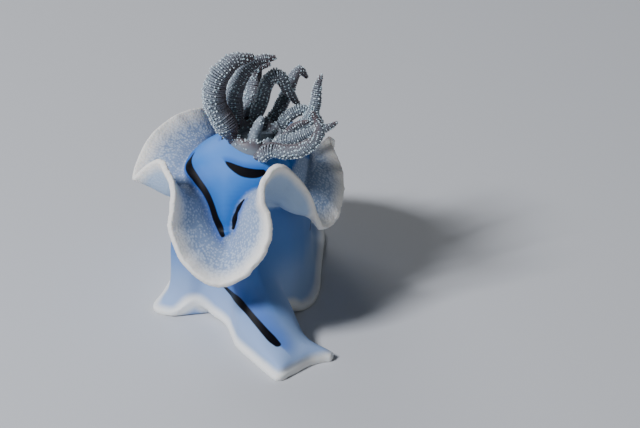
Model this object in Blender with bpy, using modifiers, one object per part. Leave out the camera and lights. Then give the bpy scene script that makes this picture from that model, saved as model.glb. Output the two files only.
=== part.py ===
"""A chromodorid nudibranch (sea slug), life size, creeping with its gills spread and its mantle ruffled.

The animal heads along +Y with its sole on z = 0. Design points are in millimetres, measured from a
corner of the foot; every mesh is moved so that the middle of the sole is the origin, and is then
turned to metres.
"""

import math

import bmesh
import bpy
import numpy as np
from mathutils import Matrix, Vector

METRE = 0.001
SOLE_CENTRE = np.array([2.0, 8.0, 0.0])
GAP = 0.3
HALF_GAP = GAP / 2

# The mantle: a cap on the back, and a skirt that runs from the crease round it out to the margin.
BACK_DEPTH = 1.5
BED_HEIGHT = 16.0
SKIRT_ROOT_THICKNESS = 1.25
SKIRT_EDGE_THICKNESS = 0.6
SKIRT_ROOT_TURN = 0.35

# Ridge of the back, tail end first: x, y, top z, and the z where the cap meets the trunk.
RIDGE = [
    (-0.9, -0.1, 11.4, 9.3),
    (-0.2, 0.9, 14.6, 10.6),
    (0.5, 2.2, 16.9, 12.2),
    (1.3, 4.2, 18.3, 13.6),
    (1.7, 7.0, 18.6, 14.0),
    (1.8, 10.2, 17.8, 13.6),
    (2.1, 13.8, 15.9, 12.0),
    (2.7, 17.6, 13.0, 9.6),
    (3.3, 21.8, 9.6, 7.2),
]

# Mantle stations, from the tail round by the left, the head and the right: margin, crease, sag.
MANTLE = [
    ((-2.3, -5.4, 7.8), (-1.0, -0.5, 10.3), 0.3),
    ((-5.0, -4.5, 9.5), (-2.0, 0.0, 11.3), 0.5),
    ((-6.6, -3.2, 12.6), (-2.7, 0.6, 12.7), 0.8),
    ((-6.3, -2.1, 16.2), (-3.5, 1.4, 14.3), 1.6),
    ((-7.4, 0.3, 18.5), (-4.4, 2.5, 15.2), 3.9),
    ((-9.0, 2.0, 17.3), (-5.0, 3.4, 15.6), 4.5),
    ((-10.5, 3.5, 15.3), (-5.2, 4.4, 15.8), 1.2),
    ((-9.9, 6.6, 16.5), (-4.9, 5.8, 16.0), 0.3),
    ((-8.6, 9.4, 17.6), (-4.2, 7.6, 16.0), 0.6),
    ((-6.4, 12.2, 18.2), (-3.2, 9.6, 15.9), 0.9),
    ((-4.0, 14.8, 17.7), (-2.4, 12.0, 15.3), 0.9),
    ((-3.1, 18.0, 14.9), (-1.6, 14.8, 14.1), 0.4),
    ((-2.2, 21.4, 11.2), (-0.7, 17.9, 11.8), -0.2),
    ((0.2, 24.2, 8.6), (0.9, 20.7, 9.6), -0.5),
    ((3.7, 25.4, 7.5), (3.3, 22.4, 8.5), -0.6),
    ((7.2, 24.0, 8.2), (5.5, 20.9, 9.3), -0.5),
    ((9.2, 20.8, 10.4), (6.7, 17.9, 11.4), -0.2),
    ((9.4, 16.9, 13.3), (7.0, 14.3, 13.1), 0.3),
    ((9.1, 12.9, 14.9), (6.8, 11.2, 14.1), 0.3),
    ((10.1, 10.0, 13.3), (6.6, 8.8, 14.1), -0.3),
    ((10.3, 7.4, 11.4), (6.4, 6.9, 13.9), -0.8),
    ((9.5, 5.0, 9.7), (6.1, 5.4, 13.6), -1.0),
    ((8.1, 3.0, 9.9), (5.7, 4.2, 13.4), -0.3),
    ((7.4, 1.4, 13.6), (5.2, 3.2, 13.5), 2.6),
    ((6.3, 0.0, 16.4), (4.5, 2.5, 13.9), 3.7),
    ((4.4, -1.9, 19.1), (3.3, 1.8, 14.6), 2.5),
    ((2.8, -3.2, 18.6), (1.9, 1.1, 14.9), 1.2),
    ((2.5, -4.1, 16.4), (0.9, 0.7, 14.5), 0.8),
    ((3.3, -5.0, 13.8), (0.1, 0.3, 13.6), 0.5),
    ((2.5, -5.7, 11.3), (-0.3, 0.0, 12.4), 0.3),
    ((0.6, -5.7, 8.9), (-0.6, -0.3, 11.1), 0.3),
]

# Where the skirt is parted into lobes, as stations on the list above.
SKIRT_LOBES = {
    "mantle_rear_lobe": (27.3, 33.2),
    "mantle_left_fold": (2.2, 6.0),
    "mantle_left_front_lobe": (6.0, 10.6),
    "mantle_front_left": (10.6, 13.0),
    "mantle_front": (13.0, 15.6),
    "mantle_front_right": (15.6, 18.6),
    "mantle_right_side_lobe": (18.6, 22.0),
    "mantle_right_fold": (22.0, 27.3),
}

# Where the back is parted: y of the cuts.
BACK_CUTS = {
    "back_rear": (-2.0, 4.6),
    "back_middle": (4.6, 13.6),
    "back_front": (13.6, 30.0),
}

# Body sections from the tail tip to the head. Each has its left and right foot margin (x, y, lift),
# its ridge (x, y, z), the share of the half-width that stands as flank, and how square the flank is.
BODY = [
    ((9.1, -6.55, 0.0), (9.4, -5.75, 0.0), (9.2, -6.15, 0.7), 1.0, 1.2),
    ((8.2, -6.8, 0.0), (8.7, -5.4, 0.0), (8.4, -6.1, 1.2), 0.92, 1.4),
    ((7.0, -7.5, 0.0), (8.0, -4.8, 0.0), (7.2, -6.2, 1.6), 0.9, 1.5),
    ((5.5, -9.1, 0.0), (7.4, -4.2, 0.0), (6.2, -6.1, 1.9), 0.9, 1.5),
    ((3.9, -10.5, 0.0), (6.9, -3.6, 0.0), (5.4, -5.5, 2.3), 0.9, 1.5),
    ((2.5, -8.6, 0.0), (6.5, -2.9, 0.0), (4.7, -4.6, 2.9), 0.9, 1.5),
    ((1.1, -6.2, 0.0), (6.1, -1.5, 0.1), (3.7, -3.6, 3.9), 0.9, 1.5),
    ((-0.3, -3.7, 0.0), (5.45, 0.1, 0.7), (2.8, -2.5, 5.3), 0.9, 1.5),
    ((-0.9, -1.3, 0.0), (4.6, 1.5, 1.3), (2.0, -1.5, 7.3), 0.88, 1.3),
    ((-1.5, 0.9, 0.0), (5.3, 2.9, 0.9), (1.5, 0.0, 10.4), 0.84, 1.0),
    ((-2.9, 2.7, 0.2), (6.4, 4.1, 0.0), (1.3, 2.0, 15.0), 0.8, 0.75),
    ((-4.7, 3.25, 1.2), (7.2, 5.2, 0.0), (1.2, 4.8, 17.0), 0.78, 0.55),
    ((-6.9, 2.75, 0.1), (7.7, 6.7, 0.0), (1.1, 7.4, 17.0), 0.8, 0.45),
    ((-8.9, 4.2, 0.0), (8.0, 8.6, 0.0), (1.0, 8.4, 17.0), 0.81, 0.45),
    ((-8.1, 7.3, 0.1), (8.1, 11.2, 0.3), (1.0, 9.8, 17.0), 0.85, 0.45),
    ((-7.2, 11.2, 0.0), (8.2, 14.2, 0.0), (1.3, 12.2, 17.0), 0.84, 0.45),
    ((-6.1, 15.2, 0.3), (8.4, 17.4, 0.3), (1.9, 16.0, 15.0), 0.78, 0.5),
    ((-4.4, 18.9, 0.0), (8.5, 20.3, 0.0), (2.6, 19.4, 10.6), 0.66, 0.6),
    ((-2.4, 21.6, 0.3), (8.2, 22.3, 0.3), (3.2, 21.6, 7.0), 0.58, 0.8),
    ((0.2, 23.4, 0.0), (6.8, 23.7, 0.0), (3.6, 23.3, 4.6), 0.56, 0.95),
    ((2.6, 24.0, 0.0), (4.9, 24.1, 0.0), (3.7, 24.0, 2.2), 0.6, 1.0),
]
FOOT_EDGE = 0.55
FOOT_TOP = 1.15
FOOT_CUT_ABOVE_EDGE = 0.6

# Planes across the body that part it into lengths: a point, and the direction towards the head.
TAIL_CUT = ((2.2, -2.2), (-0.55, 0.84))
REAR_CUT = ((1.5, 5.6), (0.0, 1.0))
MIDDLE_CUT = ((2.0, 12.4), (0.1, 1.0))
HEAD_CUT = ((3.0, 18.9), (0.15, 1.0))

# Gills: a ring round the vent, each leaf rooted in the ring.
GILL_CENTRE = (1.75, 6.1)
GILL_RING = 2.5
GILL_BASE_WIDTH = 1.5
GILL_BASE_HEIGHT = 0.8
GILL_LEAVES = [
    [(-0.5, 5.1, 18.4), (-1.0, 4.8, 20.2), (-2.0, 4.6, 21.7), (-2.4, 4.4, 23.0), (-2.4, 4.3, 24.3),
     (-2.1, 4.4, 25.5), (-1.4, 4.8, 26.5), (-0.5, 5.4, 27.2), (1.4, 6.4, 27.5)],
    [(-0.5, 6.8, 18.3), (-0.3, 7.0, 20.2), (-0.5, 7.2, 21.8), (-0.3, 7.3, 23.2), (0.3, 7.4, 24.6),
     (1.1, 7.6, 25.6), (2.1, 7.8, 26.2), (3.5, 8.0, 26.5)],
    [(0.0, 8.1, 17.9), (0.2, 9.4, 19.2), (0.7, 10.4, 20.4), (1.0, 11.1, 21.6), (1.0, 11.6, 22.9),
     (1.3, 11.6, 24.1), (2.6, 11.2, 24.8)],
    [(1.4, 8.6, 17.7), (1.6, 8.8, 19.6), (2.0, 8.8, 21.3), (2.3, 8.7, 22.6), (2.8, 8.6, 23.7),
     (3.6, 8.6, 24.3), (4.4, 8.8, 23.8), (5.0, 9.1, 22.5), (5.7, 9.5, 21.4), (6.3, 9.8, 20.5)],
    [(2.8, 8.4, 17.3), (3.3, 9.6, 18.7), (4.1, 10.4, 20.1), (4.8, 11.2, 21.5), (5.3, 11.9, 22.6),
     (6.0, 12.4, 23.2), (6.9, 12.8, 22.2)],
    [(3.8, 7.5, 16.8), (4.1, 7.9, 19.1), (4.9, 8.0, 20.1), (6.0, 8.1, 20.7), (7.2, 8.2, 20.3),
     (8.2, 8.3, 19.2), (8.7, 8.2, 17.8)],
    [(4.3, 6.3, 16.6), (5.7, 6.5, 18.9), (6.9, 6.5, 20.2), (7.5, 6.5, 21.8), (7.7, 6.7, 23.5),
     (8.1, 7.1, 24.7)],
    [(4.1, 4.9, 16.8), (5.1, 4.9, 19.3), (6.0, 4.8, 20.1), (7.1, 4.7, 20.5)],
    [(3.0, 3.9, 17.1), (4.2, 3.3, 19.0), (5.3, 2.8, 19.5), (6.5, 2.5, 20.1), (7.7, 2.5, 20.7),
     (8.8, 2.6, 20.9), (9.7, 2.8, 21.3)],
    [(1.6, 3.6, 17.3), (3.0, 1.9, 18.5), (4.3, 1.0, 18.6), (5.8, 0.3, 19.0), (6.9, -0.1, 19.6),
     (7.9, -0.2, 20.4), (8.5, -0.1, 21.4), (8.6, 0.4, 22.4), (8.1, 1.0, 23.7)],
]
# For each leaf: how far its flaps reach on its outer face, half its width, how far its stem lies
# inside the line above, how thick the stem is, and the direction that its side faces.
LEAF_FORMS = [
    (2.0, 0.85, 0.8, 1.15, (0.25, -1.0, 0.0)),
    (1.45, 0.8, 0.45, 0.9, (0.0, -1.0, 0.0)),
    (1.4, 0.75, 0.85, 0.9, (-0.4, -0.9, 0.0)),
    (1.15, 0.7, 0.6, 0.8, (-0.15, -1.0, 0.0)),
    (1.1, 0.65, 0.4, 0.8, (-0.3, -1.0, 0.0)),
    (0.95, 0.6, 0.45, 0.7, (0.0, -1.0, 0.2)),
    (0.85, 0.68, 0.2, 0.7, (1.0, -0.3, 0.0)),
    (0.75, 0.5, 0.45, 0.7, (0.1, 1.0, 0.2)),
    (0.8, 0.72, 0.3, 0.7, (0.0, 0.35, -1.0)),
    (1.2, 0.65, 0.95, 0.9, (0.0, 1.0, -0.3)),
]
RACHIS_RADII = (0.62, 0.5, 0.4, 0.32, 0.26)
STEM_SAMPLES = 160
FLAP_HALF = 0.32
PINNA_PITCH = 1.0
PINNA_WIDTH = 0.58
PINNA_THICKNESS = 0.4
PINNA_TAPER = 0.85
PINNA_START = 2.2
PINNA_LEAN = 0.6
PINNA_STAGGER = 0.2
PINNA_TRIES = (1.0, 0.85, 0.7, 0.55)

PAPILLA = [(1.3, 5.3, 18.2), (1.6, 5.3, 19.2), (2.0, 5.4, 20.2), (2.3, 5.4, 20.9)]
PAPILLA_RADII = (0.55, 0.5, 0.45, 0.32)

# Rhinophores: base x, y and sideways lean of each; all lean back a little.
RHINOPHORES = {"left": (1.7, 19.3, -0.12), "right": (4.5, 19.3, 0.14)}
RHINOPHORE_HEIGHT = 2.9
RHINOPHORE_BACK = -0.12
STALK_RADIUS = 0.4
CLUB_RADIUS = 0.58
CLUB_BOTTOM = 0.95
CLUB_LEAFLETS = 5
SHEATH_RADIUS = 0.88
SHEATH_WALL = 0.5
SHEATH_HEIGHT = 0.5

ORAL_TENTACLES = {
    "left": [(1.9, 22.2, 2.6), (1.2, 23.4, 2.5), (0.7, 24.3, 2.2)],
    "right": [(5.4, 22.3, 2.6), (6.2, 23.4, 2.5), (6.8, 24.3, 2.2)],
}
TENTACLE_RADII = (0.5, 0.42, 0.22)
MOUTH = (3.7, 23.4, 2.3)
MOUTH_TIP_BACK = 80.0
LIP_RADIUS = 0.62
LIP_THICKNESS = 0.3
LIP_SCALE = (1.25, 0.7, 1.0)
SLIT_RADIUS = 0.5
SLIT_SCALE = (1.5, 0.36, 2.2)

BLUE = (0.34, 0.52, 0.78)
PALE_BLUE = (0.52, 0.66, 0.80)
SKIRT_GREY = (0.66, 0.71, 0.78)
GILL_GREY = (0.36, 0.34, 0.37)
RHINOPHORE_BLUE = (0.55, 0.60, 0.66)


def clear_scene():
    for obj in list(bpy.data.objects):
        bpy.data.objects.remove(obj, do_unlink=True)
    for collection in list(bpy.data.collections):
        bpy.data.collections.remove(collection)


def material(name, colour, roughness):
    made = bpy.data.materials.new(name)
    made.use_nodes = True
    shader = made.node_tree.nodes["Principled BSDF"]
    shader.inputs["Base Color"].default_value = (*colour, 1.0)
    shader.inputs["Roughness"].default_value = roughness
    shader.inputs["Metallic"].default_value = 0.0
    return made


def through(points, places, closed=False):
    """Points of a smooth curve through the given ones; a place is a number counted in points."""
    points = np.asarray(points, float)
    places = np.atleast_1d(np.asarray(places, float))
    count = len(points)
    first = np.floor(places).astype(int)
    if not closed:
        first = np.clip(first, 0, count - 2)
    part = (places - first)[:, None]
    if closed:
        a, b, c, d = (points[(first + k) % count] for k in (-1, 0, 1, 2))
    else:
        b, c = points[first], points[first + 1]
        a = np.where((first > 0)[:, None], points[first - 1], 2 * b - c)
        after = np.minimum(first + 2, count - 1)
        d = np.where((first + 2 < count)[:, None], points[after], 2 * c - b)
    slopes = (c - a) / 2, (d - b) / 2
    square, cube = part**2, part**3
    return (
        b * (2 * cube - 3 * square + 1)
        + slopes[0] * (cube - 2 * square + part)
        + c * (3 * square - 2 * cube)
        + slopes[1] * (cube - square)
    )


def unit(vectors):
    return vectors / np.maximum(np.linalg.norm(vectors, axis=-1, keepdims=True), 1e-9)


def ease(value):
    value = np.clip(value, 0, 1)
    return value * value * (3 - 2 * value)


def closed_solid(name, upper, lower):
    """A closed body between two grids of points.

    Both grids are split into triangles the same way, and so are the walls at the first and last row.
    """
    rows, columns = upper.shape[:2]
    mesh = bpy.data.meshes.new(name)
    shell = bmesh.new()
    tops = [[shell.verts.new(p) for p in row] for row in upper]
    bottoms = [[shell.verts.new(p) for p in row] for row in lower]
    for r in range(rows - 1):
        for c in range(columns - 1):
            for grid, order in ((tops, 1), (bottoms, -1)):
                corners = grid[r][c], grid[r][c + 1], grid[r + 1][c + 1], grid[r + 1][c]
                shell.faces.new((corners[0], corners[1], corners[2])[::order])
                shell.faces.new((corners[0], corners[2], corners[3])[::order])
    rim = [(0, c) for c in range(columns - 1)]
    rim += [(r, columns - 1) for r in range(rows - 1)]
    rim += [(rows - 1, c) for c in range(columns - 1, 0, -1)]
    rim += [(r, 0) for r in range(rows - 1, 0, -1)]
    for (r, c), (s, d) in zip(rim, rim[1:] + rim[:1]):
        if r == s == rows - 1:
            shell.faces.new((tops[r][c], bottoms[r][c], bottoms[s][d]))
            shell.faces.new((tops[r][c], bottoms[s][d], tops[s][d]))
        else:
            shell.faces.new((tops[s][d], tops[r][c], bottoms[r][c]))
            shell.faces.new((tops[s][d], bottoms[r][c], bottoms[s][d]))
    return finish_mesh(shell, mesh, name)


def ring_solid(name, upper, lower):
    """A closed band between two grids whose first index runs once round."""
    turns, columns = upper.shape[:2]
    mesh = bpy.data.meshes.new(name)
    shell = bmesh.new()
    tops = [[shell.verts.new(p) for p in row] for row in upper]
    bottoms = [[shell.verts.new(p) for p in row] for row in lower]
    for r in range(turns):
        s = (r + 1) % turns
        for c in range(columns - 1):
            for grid, order in ((tops, 1), (bottoms, -1)):
                shell.faces.new((grid[r][c], grid[r][c + 1], grid[s][c + 1])[::order])
                shell.faces.new((grid[r][c], grid[s][c + 1], grid[s][c])[::order])
        for c, order in ((0, 1), (columns - 1, -1)):
            shell.faces.new((tops[r][c], tops[s][c], bottoms[s][c])[::order])
            shell.faces.new((tops[r][c], bottoms[s][c], bottoms[r][c])[::order])
    return finish_mesh(shell, mesh, name)


def finish_mesh(shell, mesh, name):
    bmesh.ops.recalc_face_normals(shell, faces=shell.faces)
    if shell.calc_volume(signed=True) < 0:
        bmesh.ops.reverse_faces(shell, faces=shell.faces)
    shell.to_mesh(mesh)
    shell.free()
    obj = bpy.data.objects.new(name, mesh)
    helpers.objects.link(obj)
    return obj


def tube(name, points, radii, sides=8, samples=10):
    """A tapered round stem along a smooth curve, closed at both ends."""
    path = through(points, np.linspace(0, len(points) - 1, samples))
    widths = np.interp(np.linspace(0, 1, samples), np.linspace(0, 1, len(radii)), radii)
    curve = bpy.data.curves.new(name, "CURVE")
    curve.dimensions = "3D"
    curve.bevel_depth = 1.0
    curve.bevel_resolution = max(0, sides // 2 - 2)
    curve.use_fill_caps = True
    spline = curve.splines.new("POLY")
    spline.points.add(samples - 1)
    for point, place, width in zip(spline.points, path, widths):
        point.co = (*place, 1.0)
        point.radius = width
    return as_mesh(name, curve)


def as_mesh(name, curve):
    holder = bpy.data.objects.new(name + "_curve", curve)
    helpers.objects.link(holder)
    graph = bpy.context.evaluated_depsgraph_get()
    mesh = bpy.data.meshes.new_from_object(holder.evaluated_get(graph))
    bpy.data.objects.remove(holder, do_unlink=True)
    shell = bmesh.new()
    shell.from_mesh(mesh)
    bmesh.ops.remove_doubles(shell, verts=shell.verts, dist=1e-4)
    bmesh.ops.triangulate(shell, faces=shell.faces)
    return finish_mesh(shell, mesh, name)


def boolean(obj, others, operation, solver="EXACT"):
    """Cuts, joins or trims an object with others, and removes them."""
    group = bpy.data.collections.new(obj.name + "_tools")
    bpy.context.scene.collection.children.link(group)
    for other in others:
        group.objects.link(other)
    modifier = obj.modifiers.new(operation, "BOOLEAN")
    modifier.operation = operation
    modifier.operand_type = "COLLECTION"
    modifier.collection = group
    modifier.solver = solver
    graph = bpy.context.evaluated_depsgraph_get()
    mesh = bpy.data.meshes.new_from_object(obj.evaluated_get(graph))
    obj.modifiers.clear()
    obj.data = mesh
    for other in others:
        bpy.data.objects.remove(other, do_unlink=True)
    bpy.data.collections.remove(group)
    keep_largest(obj)


def keep_largest(obj, flatten=0.0):
    """Keeps the largest closed surface of a mesh, and can merge faces that are almost level."""
    shell = bmesh.new()
    shell.from_mesh(obj.data)
    bmesh.ops.remove_doubles(shell, verts=shell.verts, dist=1e-4)
    bmesh.ops.dissolve_degenerate(shell, edges=shell.edges, dist=1e-4)
    bmesh.ops.triangulate(shell, faces=shell.faces)
    waiting = set(shell.faces)
    islands = []
    while waiting:
        found = {waiting.pop()}
        front = list(found)
        while front:
            for edge in front.pop().edges:
                for other in edge.link_faces:
                    if other not in found:
                        found.add(other)
                        front.append(other)
        waiting -= found
        islands.append(found)
    islands.sort(key=len)
    scraps = [face for island in islands[:-1] for face in island]
    bmesh.ops.delete(shell, geom=scraps, context="FACES")
    if flatten:
        bmesh.ops.dissolve_limit(
            shell, angle_limit=math.radians(flatten), verts=shell.verts, edges=shell.edges,
            use_dissolve_boundaries=False,
        )
        bmesh.ops.triangulate(shell, faces=shell.faces)
    shell.to_mesh(obj.data)
    shell.free()


def copy_of(obj, name):
    made = bpy.data.objects.new(name, obj.data.copy())
    helpers.objects.link(made)
    return made


def block(low, high, matrix=None):
    """A box cutter between two corners."""
    bpy.ops.mesh.primitive_cube_add(size=1.0)
    made = bpy.context.object
    low, high = Vector(low), Vector(high)
    size = high - low
    made.data.transform(Matrix.Diagonal((*size, 1.0)))
    made.data.transform(Matrix.Translation((low + high) / 2))
    if matrix:
        made.data.transform(matrix)
    for home in list(made.users_collection):
        home.objects.unlink(made)
    helpers.objects.link(made)
    return made


def half_space(cut, ahead):
    """A large box on one side of a plane that stands across the body."""
    (x, y), (dx, dy) = cut
    turn = math.atan2(dy, dx)
    matrix = Matrix.Translation((x, y, 0.0)) @ Matrix.Rotation(turn, 4, "Z")
    near, far = HALF_GAP, 60.0
    if ahead:
        return block((near, -40.0, -5.0), (far, 40.0, 40.0), matrix)
    return block((-far, -40.0, -5.0), (-near, 40.0, 40.0), matrix)


RIDGE_ARRAY = np.array(RIDGE)
MARGINS = np.array([station[0] for station in MANTLE])
CREASES = np.array([station[1] for station in MANTLE])
SAGS = np.array([[station[2]] for station in MANTLE])
STATIONS = len(MANTLE)
HEAD_STATION = 14
FINE = 40


def skirt(t, s):
    """Points of the skirt's upper face: t in stations, s from 0 at the crease to 1 at the margin."""
    margin = through(MARGINS, t, True)
    crease = through(CREASES, t, True)
    sag = through(SAGS, t, True)
    middle = (margin + crease) / 2 - sag * np.array([0.0, 0.0, 1.0])
    s = np.asarray(s, float)[..., None]
    return crease * (1 - s) ** 2 + 2 * middle * s * (1 - s) + margin * s**2


def skirt_side(t, s):
    """The direction from the upper face into the flesh: straight down at the root."""
    step, wide = 0.02, 0.5
    along = skirt(t + wide, s) - skirt(t - wide, s)
    out = skirt(t, s + step) - skirt(t, s - step)
    inward = unit(np.cross(out, along))
    down = np.array([0.0, 0.0, -1.0])
    turn = ease(np.asarray(s, float) / SKIRT_ROOT_TURN)[..., None]
    return unit(down * (1 - turn) + inward * turn)


def skirt_grid(t, s, extra=0.0, ends=None):
    """Upper and lower points of the skirt, with the lower face set further in by extra.

    Where a lobe ends, both neighbours take their thickness along one direction, that at the parting.
    """
    upper = np.empty((*t.shape, 3))
    lower = np.empty_like(upper)
    fall = SKIRT_ROOT_THICKNESS - SKIRT_EDGE_THICKNESS
    for c in range(t.shape[1]):
        thickness = SKIRT_ROOT_THICKNESS - fall * np.maximum(s[:, c], 0.0) ** 0.7
        place = t[:, c].copy()
        if ends:
            place[[0, -1]] = ends
        inward = skirt_side(place, s[:, c])
        raised = SKIRT_EDGE_THICKNESS / 2 * ease(s[:, c] / SKIRT_ROOT_TURN)
        upper[:, c] = skirt(t[:, c], s[:, c]) - inward * raised[:, None]
        lower[:, c] = upper[:, c] + inward * (thickness + extra)[:, None]
    return upper, lower


def crease_lines(inset):
    """The crease on the left and on the right from tail to head, moved in level by the inset."""
    lines = []
    for start in (0, STATIONS):
        places = np.linspace(start, HEAD_STATION, abs(HEAD_STATION - start) * FINE)
        points = through(CREASES, places, True)
        along = through(CREASES, places + 0.01, True) - through(CREASES, places - 0.01, True)
        along = unit(along[:, :2])
        points[:, 0] += along[:, 1] * inset
        points[:, 1] -= along[:, 0] * inset
        points = points[np.argsort(points[:, 1], kind="stable")]
        lines.append(points)
    return lines


def back_reach(inset, narrowest=0.5):
    """The y between which the back, moved in by the inset, is at least so wide."""
    left, right = crease_lines(inset)
    ys = np.linspace(max(left[0, 1], right[0, 1]), min(left[-1, 1], right[-1, 1]), 400)
    wide = np.interp(ys, right[:, 1], right[:, 0]) - np.interp(ys, left[:, 1], left[:, 0]) > narrowest
    return ys[wide][0], ys[wide][-1]


def ridge_at(y):
    places = np.linspace(0, len(RIDGE) - 1, len(RIDGE) * FINE)
    points = through(RIDGE_ARRAY, places)
    return np.stack([np.interp(y, points[:, 1], points[:, k]) for k in range(4)], axis=-1)


def back_grid(ys, across, grow=0.0, inset=0.0):
    """Upper and lower points of the back, as ribs at the given y from the left crease to the right."""
    sides = [
        np.stack([np.interp(ys, line[:, 1], line[:, k]) for k in range(3)], axis=-1)
        for line in crease_lines(inset - grow)
    ]
    ridge = ridge_at(ys)
    ridge[:, 0] = np.clip(ridge[:, 0], sides[0][:, 0] + 0.2, sides[1][:, 0] - 0.2)
    upper = np.empty((len(ys), len(across), 3))
    lower = np.empty_like(upper)
    for c, share in enumerate(across):
        crease = sides[0] if share < 0 else sides[1]
        swing = abs(share) * math.pi / 2
        x = ridge[:, 0] + (crease[:, 0] - ridge[:, 0]) * math.sin(swing)
        z = crease[:, 2] + (ridge[:, 2] - crease[:, 2]) * math.cos(swing) + grow
        floor = ridge[:, 3] + (crease[:, 2] - BACK_DEPTH - ridge[:, 3]) * math.sin(swing)
        upper[:, c] = np.stack([x, ys, z], axis=-1)
        lower[:, c] = np.stack([x, ys, floor], axis=-1)
    return upper, lower


def body_section(station, grow=0.0):
    """One cross-section of the body as a loop of points: left margin, over the ridge, right, sole."""
    left, right, ridge = station[0:3], station[3:6], station[6:9]
    waist, square = station[9], station[10]
    height = ridge[2] + grow
    points = []
    for margin, order in ((left, 1), (right, -1)):
        outward = margin[:2] - ridge[:2]
        reach = np.linalg.norm(outward)
        outward = outward / reach
        reach += grow
        lift = margin[2]
        edge = min(lift + FOOT_EDGE + grow, height * 0.9)
        flare_top = edge + (height - edge) * 0.22
        side = [(1.0, lift), (1.0, edge)]
        for share in (0.25, 0.5, 0.75, 1.0):
            out = 1 - (1 - waist) * (1 - (1 - share) ** 2)
            side.append((out, edge + (flare_top - edge) * share**2))
        for step in (1, 2, 3, 4):
            swing = step / 5 * math.pi / 2
            out = waist * math.cos(swing) ** square
            side.append((out, flare_top + (height - flare_top) * math.sin(swing) ** 0.9))
        loop = [(*(ridge[:2] + outward * reach * out), z) for out, z in side]
        points.append(loop if order == 1 else loop[::-1])
    top = [(ridge[0], ridge[1], height)]
    sole = []
    for share, side, hold in ((0.1, right, 0.6), (0.3, right, 0.0), (0.7, left, 0.0), (0.9, left, 0.6)):
        place = right[:2] * (1 - share) + left[:2] * share
        sole.append((*place, side[2] * hold))
    return points[0] + top + points[1] + sole


def body_stations(steps):
    """The body table made smooth, with the foot margin nowhere below the floor."""
    table = np.array([[*a, *b, *c, d, e] for a, b, c, d, e in BODY])
    places = np.linspace(0, len(table) - 1, (len(table) - 1) * steps + 1)
    stations = through(table, places)
    stations[:, [2, 5]] = np.maximum(stations[:, [2, 5]], 0.0)
    return stations


def foot_top(offset):
    """The face that parts the foot from the body. It is level, and rises with a lifted margin."""
    stations = body_stations(1)
    shares = (-0.25, 0.0, 0.25, 0.6)
    grid = np.empty((len(stations) + 2, 2 * len(shares) + 1, 3))
    for r, station in enumerate(stations, start=1):
        ridge = station[6:8]
        grid[r, len(shares)] = (*ridge, FOOT_TOP + offset)
        for c, share in enumerate(shares):
            for margin, column in ((station[0:3], c), (station[3:6], -1 - c)):
                rise = max(0.0, margin[2] + FOOT_EDGE + FOOT_CUT_ABOVE_EDGE - FOOT_TOP)
                grid[r, column, :2] = margin[:2] + (ridge - margin[:2]) * share
                grid[r, column, 2] = FOOT_TOP + rise * (1 - ease(share / 0.6)) + offset
    grid[0] = grid[1] + np.mean(grid[1] - grid[2], axis=0)
    grid[-1] = grid[-2] + np.mean(grid[-2] - grid[-3], axis=0)
    return grid


def body(name, grow=0.0, steps=2):
    """The whole soft body as one closed loft of sections."""
    stations = body_stations(steps)
    sections = [body_section(station, grow) for station in stations]
    shell = bmesh.new()
    rings = [[shell.verts.new(p) for p in section] for section in sections]
    count = len(rings[0])
    for ring, after in zip(rings, rings[1:]):
        for k in range(count):
            m = (k + 1) % count
            shell.faces.new((ring[k], ring[m], after[m]))
            shell.faces.new((ring[k], after[m], after[k]))
    shell.faces.new(rings[0])
    shell.faces.new(rings[-1])
    bmesh.ops.triangulate(shell, faces=shell.faces)
    return finish_mesh(shell, bpy.data.meshes.new(name), name)


def mantle_cutters():
    """What the mantle and a gap under it take away from the trunk."""
    across = [-0.12, 0.1, 0.35, 0.6, 0.85, 1.05]
    places, shares = np.meshgrid(np.arange(0, STATIONS, 0.5), across, indexing="ij")
    _, lower = skirt_grid(places, shares, GAP)
    height = np.array([0.0, 0.0, BED_HEIGHT])
    band = ring_solid("skirt_cutter", lower + height, lower)
    ys = back_ys(*back_reach(-GAP))
    _, floor = back_grid(ys, np.linspace(-1, 1, 9), grow=GAP)
    floor[:, :, 2] -= GAP
    cap = closed_solid("back_cutter", floor + height, floor)
    return [band, cap]


def back_ys(start, end):
    """Ribs of the back: close together where it climbs from the tail end, wider further on."""
    first = np.arange(start, min(end, 4.0), 0.4)
    rest = np.arange(max(start, 4.0), end, 0.95)
    ys = np.concatenate([first, rest])
    return np.append(ys[ys < end - 0.2], end)


def make_back():
    low, high = back_reach(HALF_GAP)
    made = []
    for name, (start, end) in BACK_CUTS.items():
        ys = back_ys(max(start + HALF_GAP, low), min(end - HALF_GAP, high))
        upper, lower = back_grid(ys, np.linspace(-1, 1, 13), inset=HALF_GAP)
        made.append(closed_solid(name, upper, lower))
    return made


def pace_round(t, s):
    """How far a point of the skirt moves for a small step round the mantle."""
    step = 0.02
    return np.linalg.norm(skirt(t + step, s) - skirt(t - step, s), axis=-1) / (2 * step)


def pace_out(t):
    """How fast the skirt leaves the crease at its root, level and square to the crease."""
    step = 0.02
    nought = np.zeros(len(t))
    along = (skirt(t + step, nought) - skirt(t - step, nought))[:, :2]
    out = (skirt(t, nought + step) - skirt(t, nought))[:, :2] / step
    along = unit(along)
    square = np.stack([-along[:, 1], along[:, 0]], axis=-1)
    return np.abs(np.sum(out * square, axis=-1))


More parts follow.
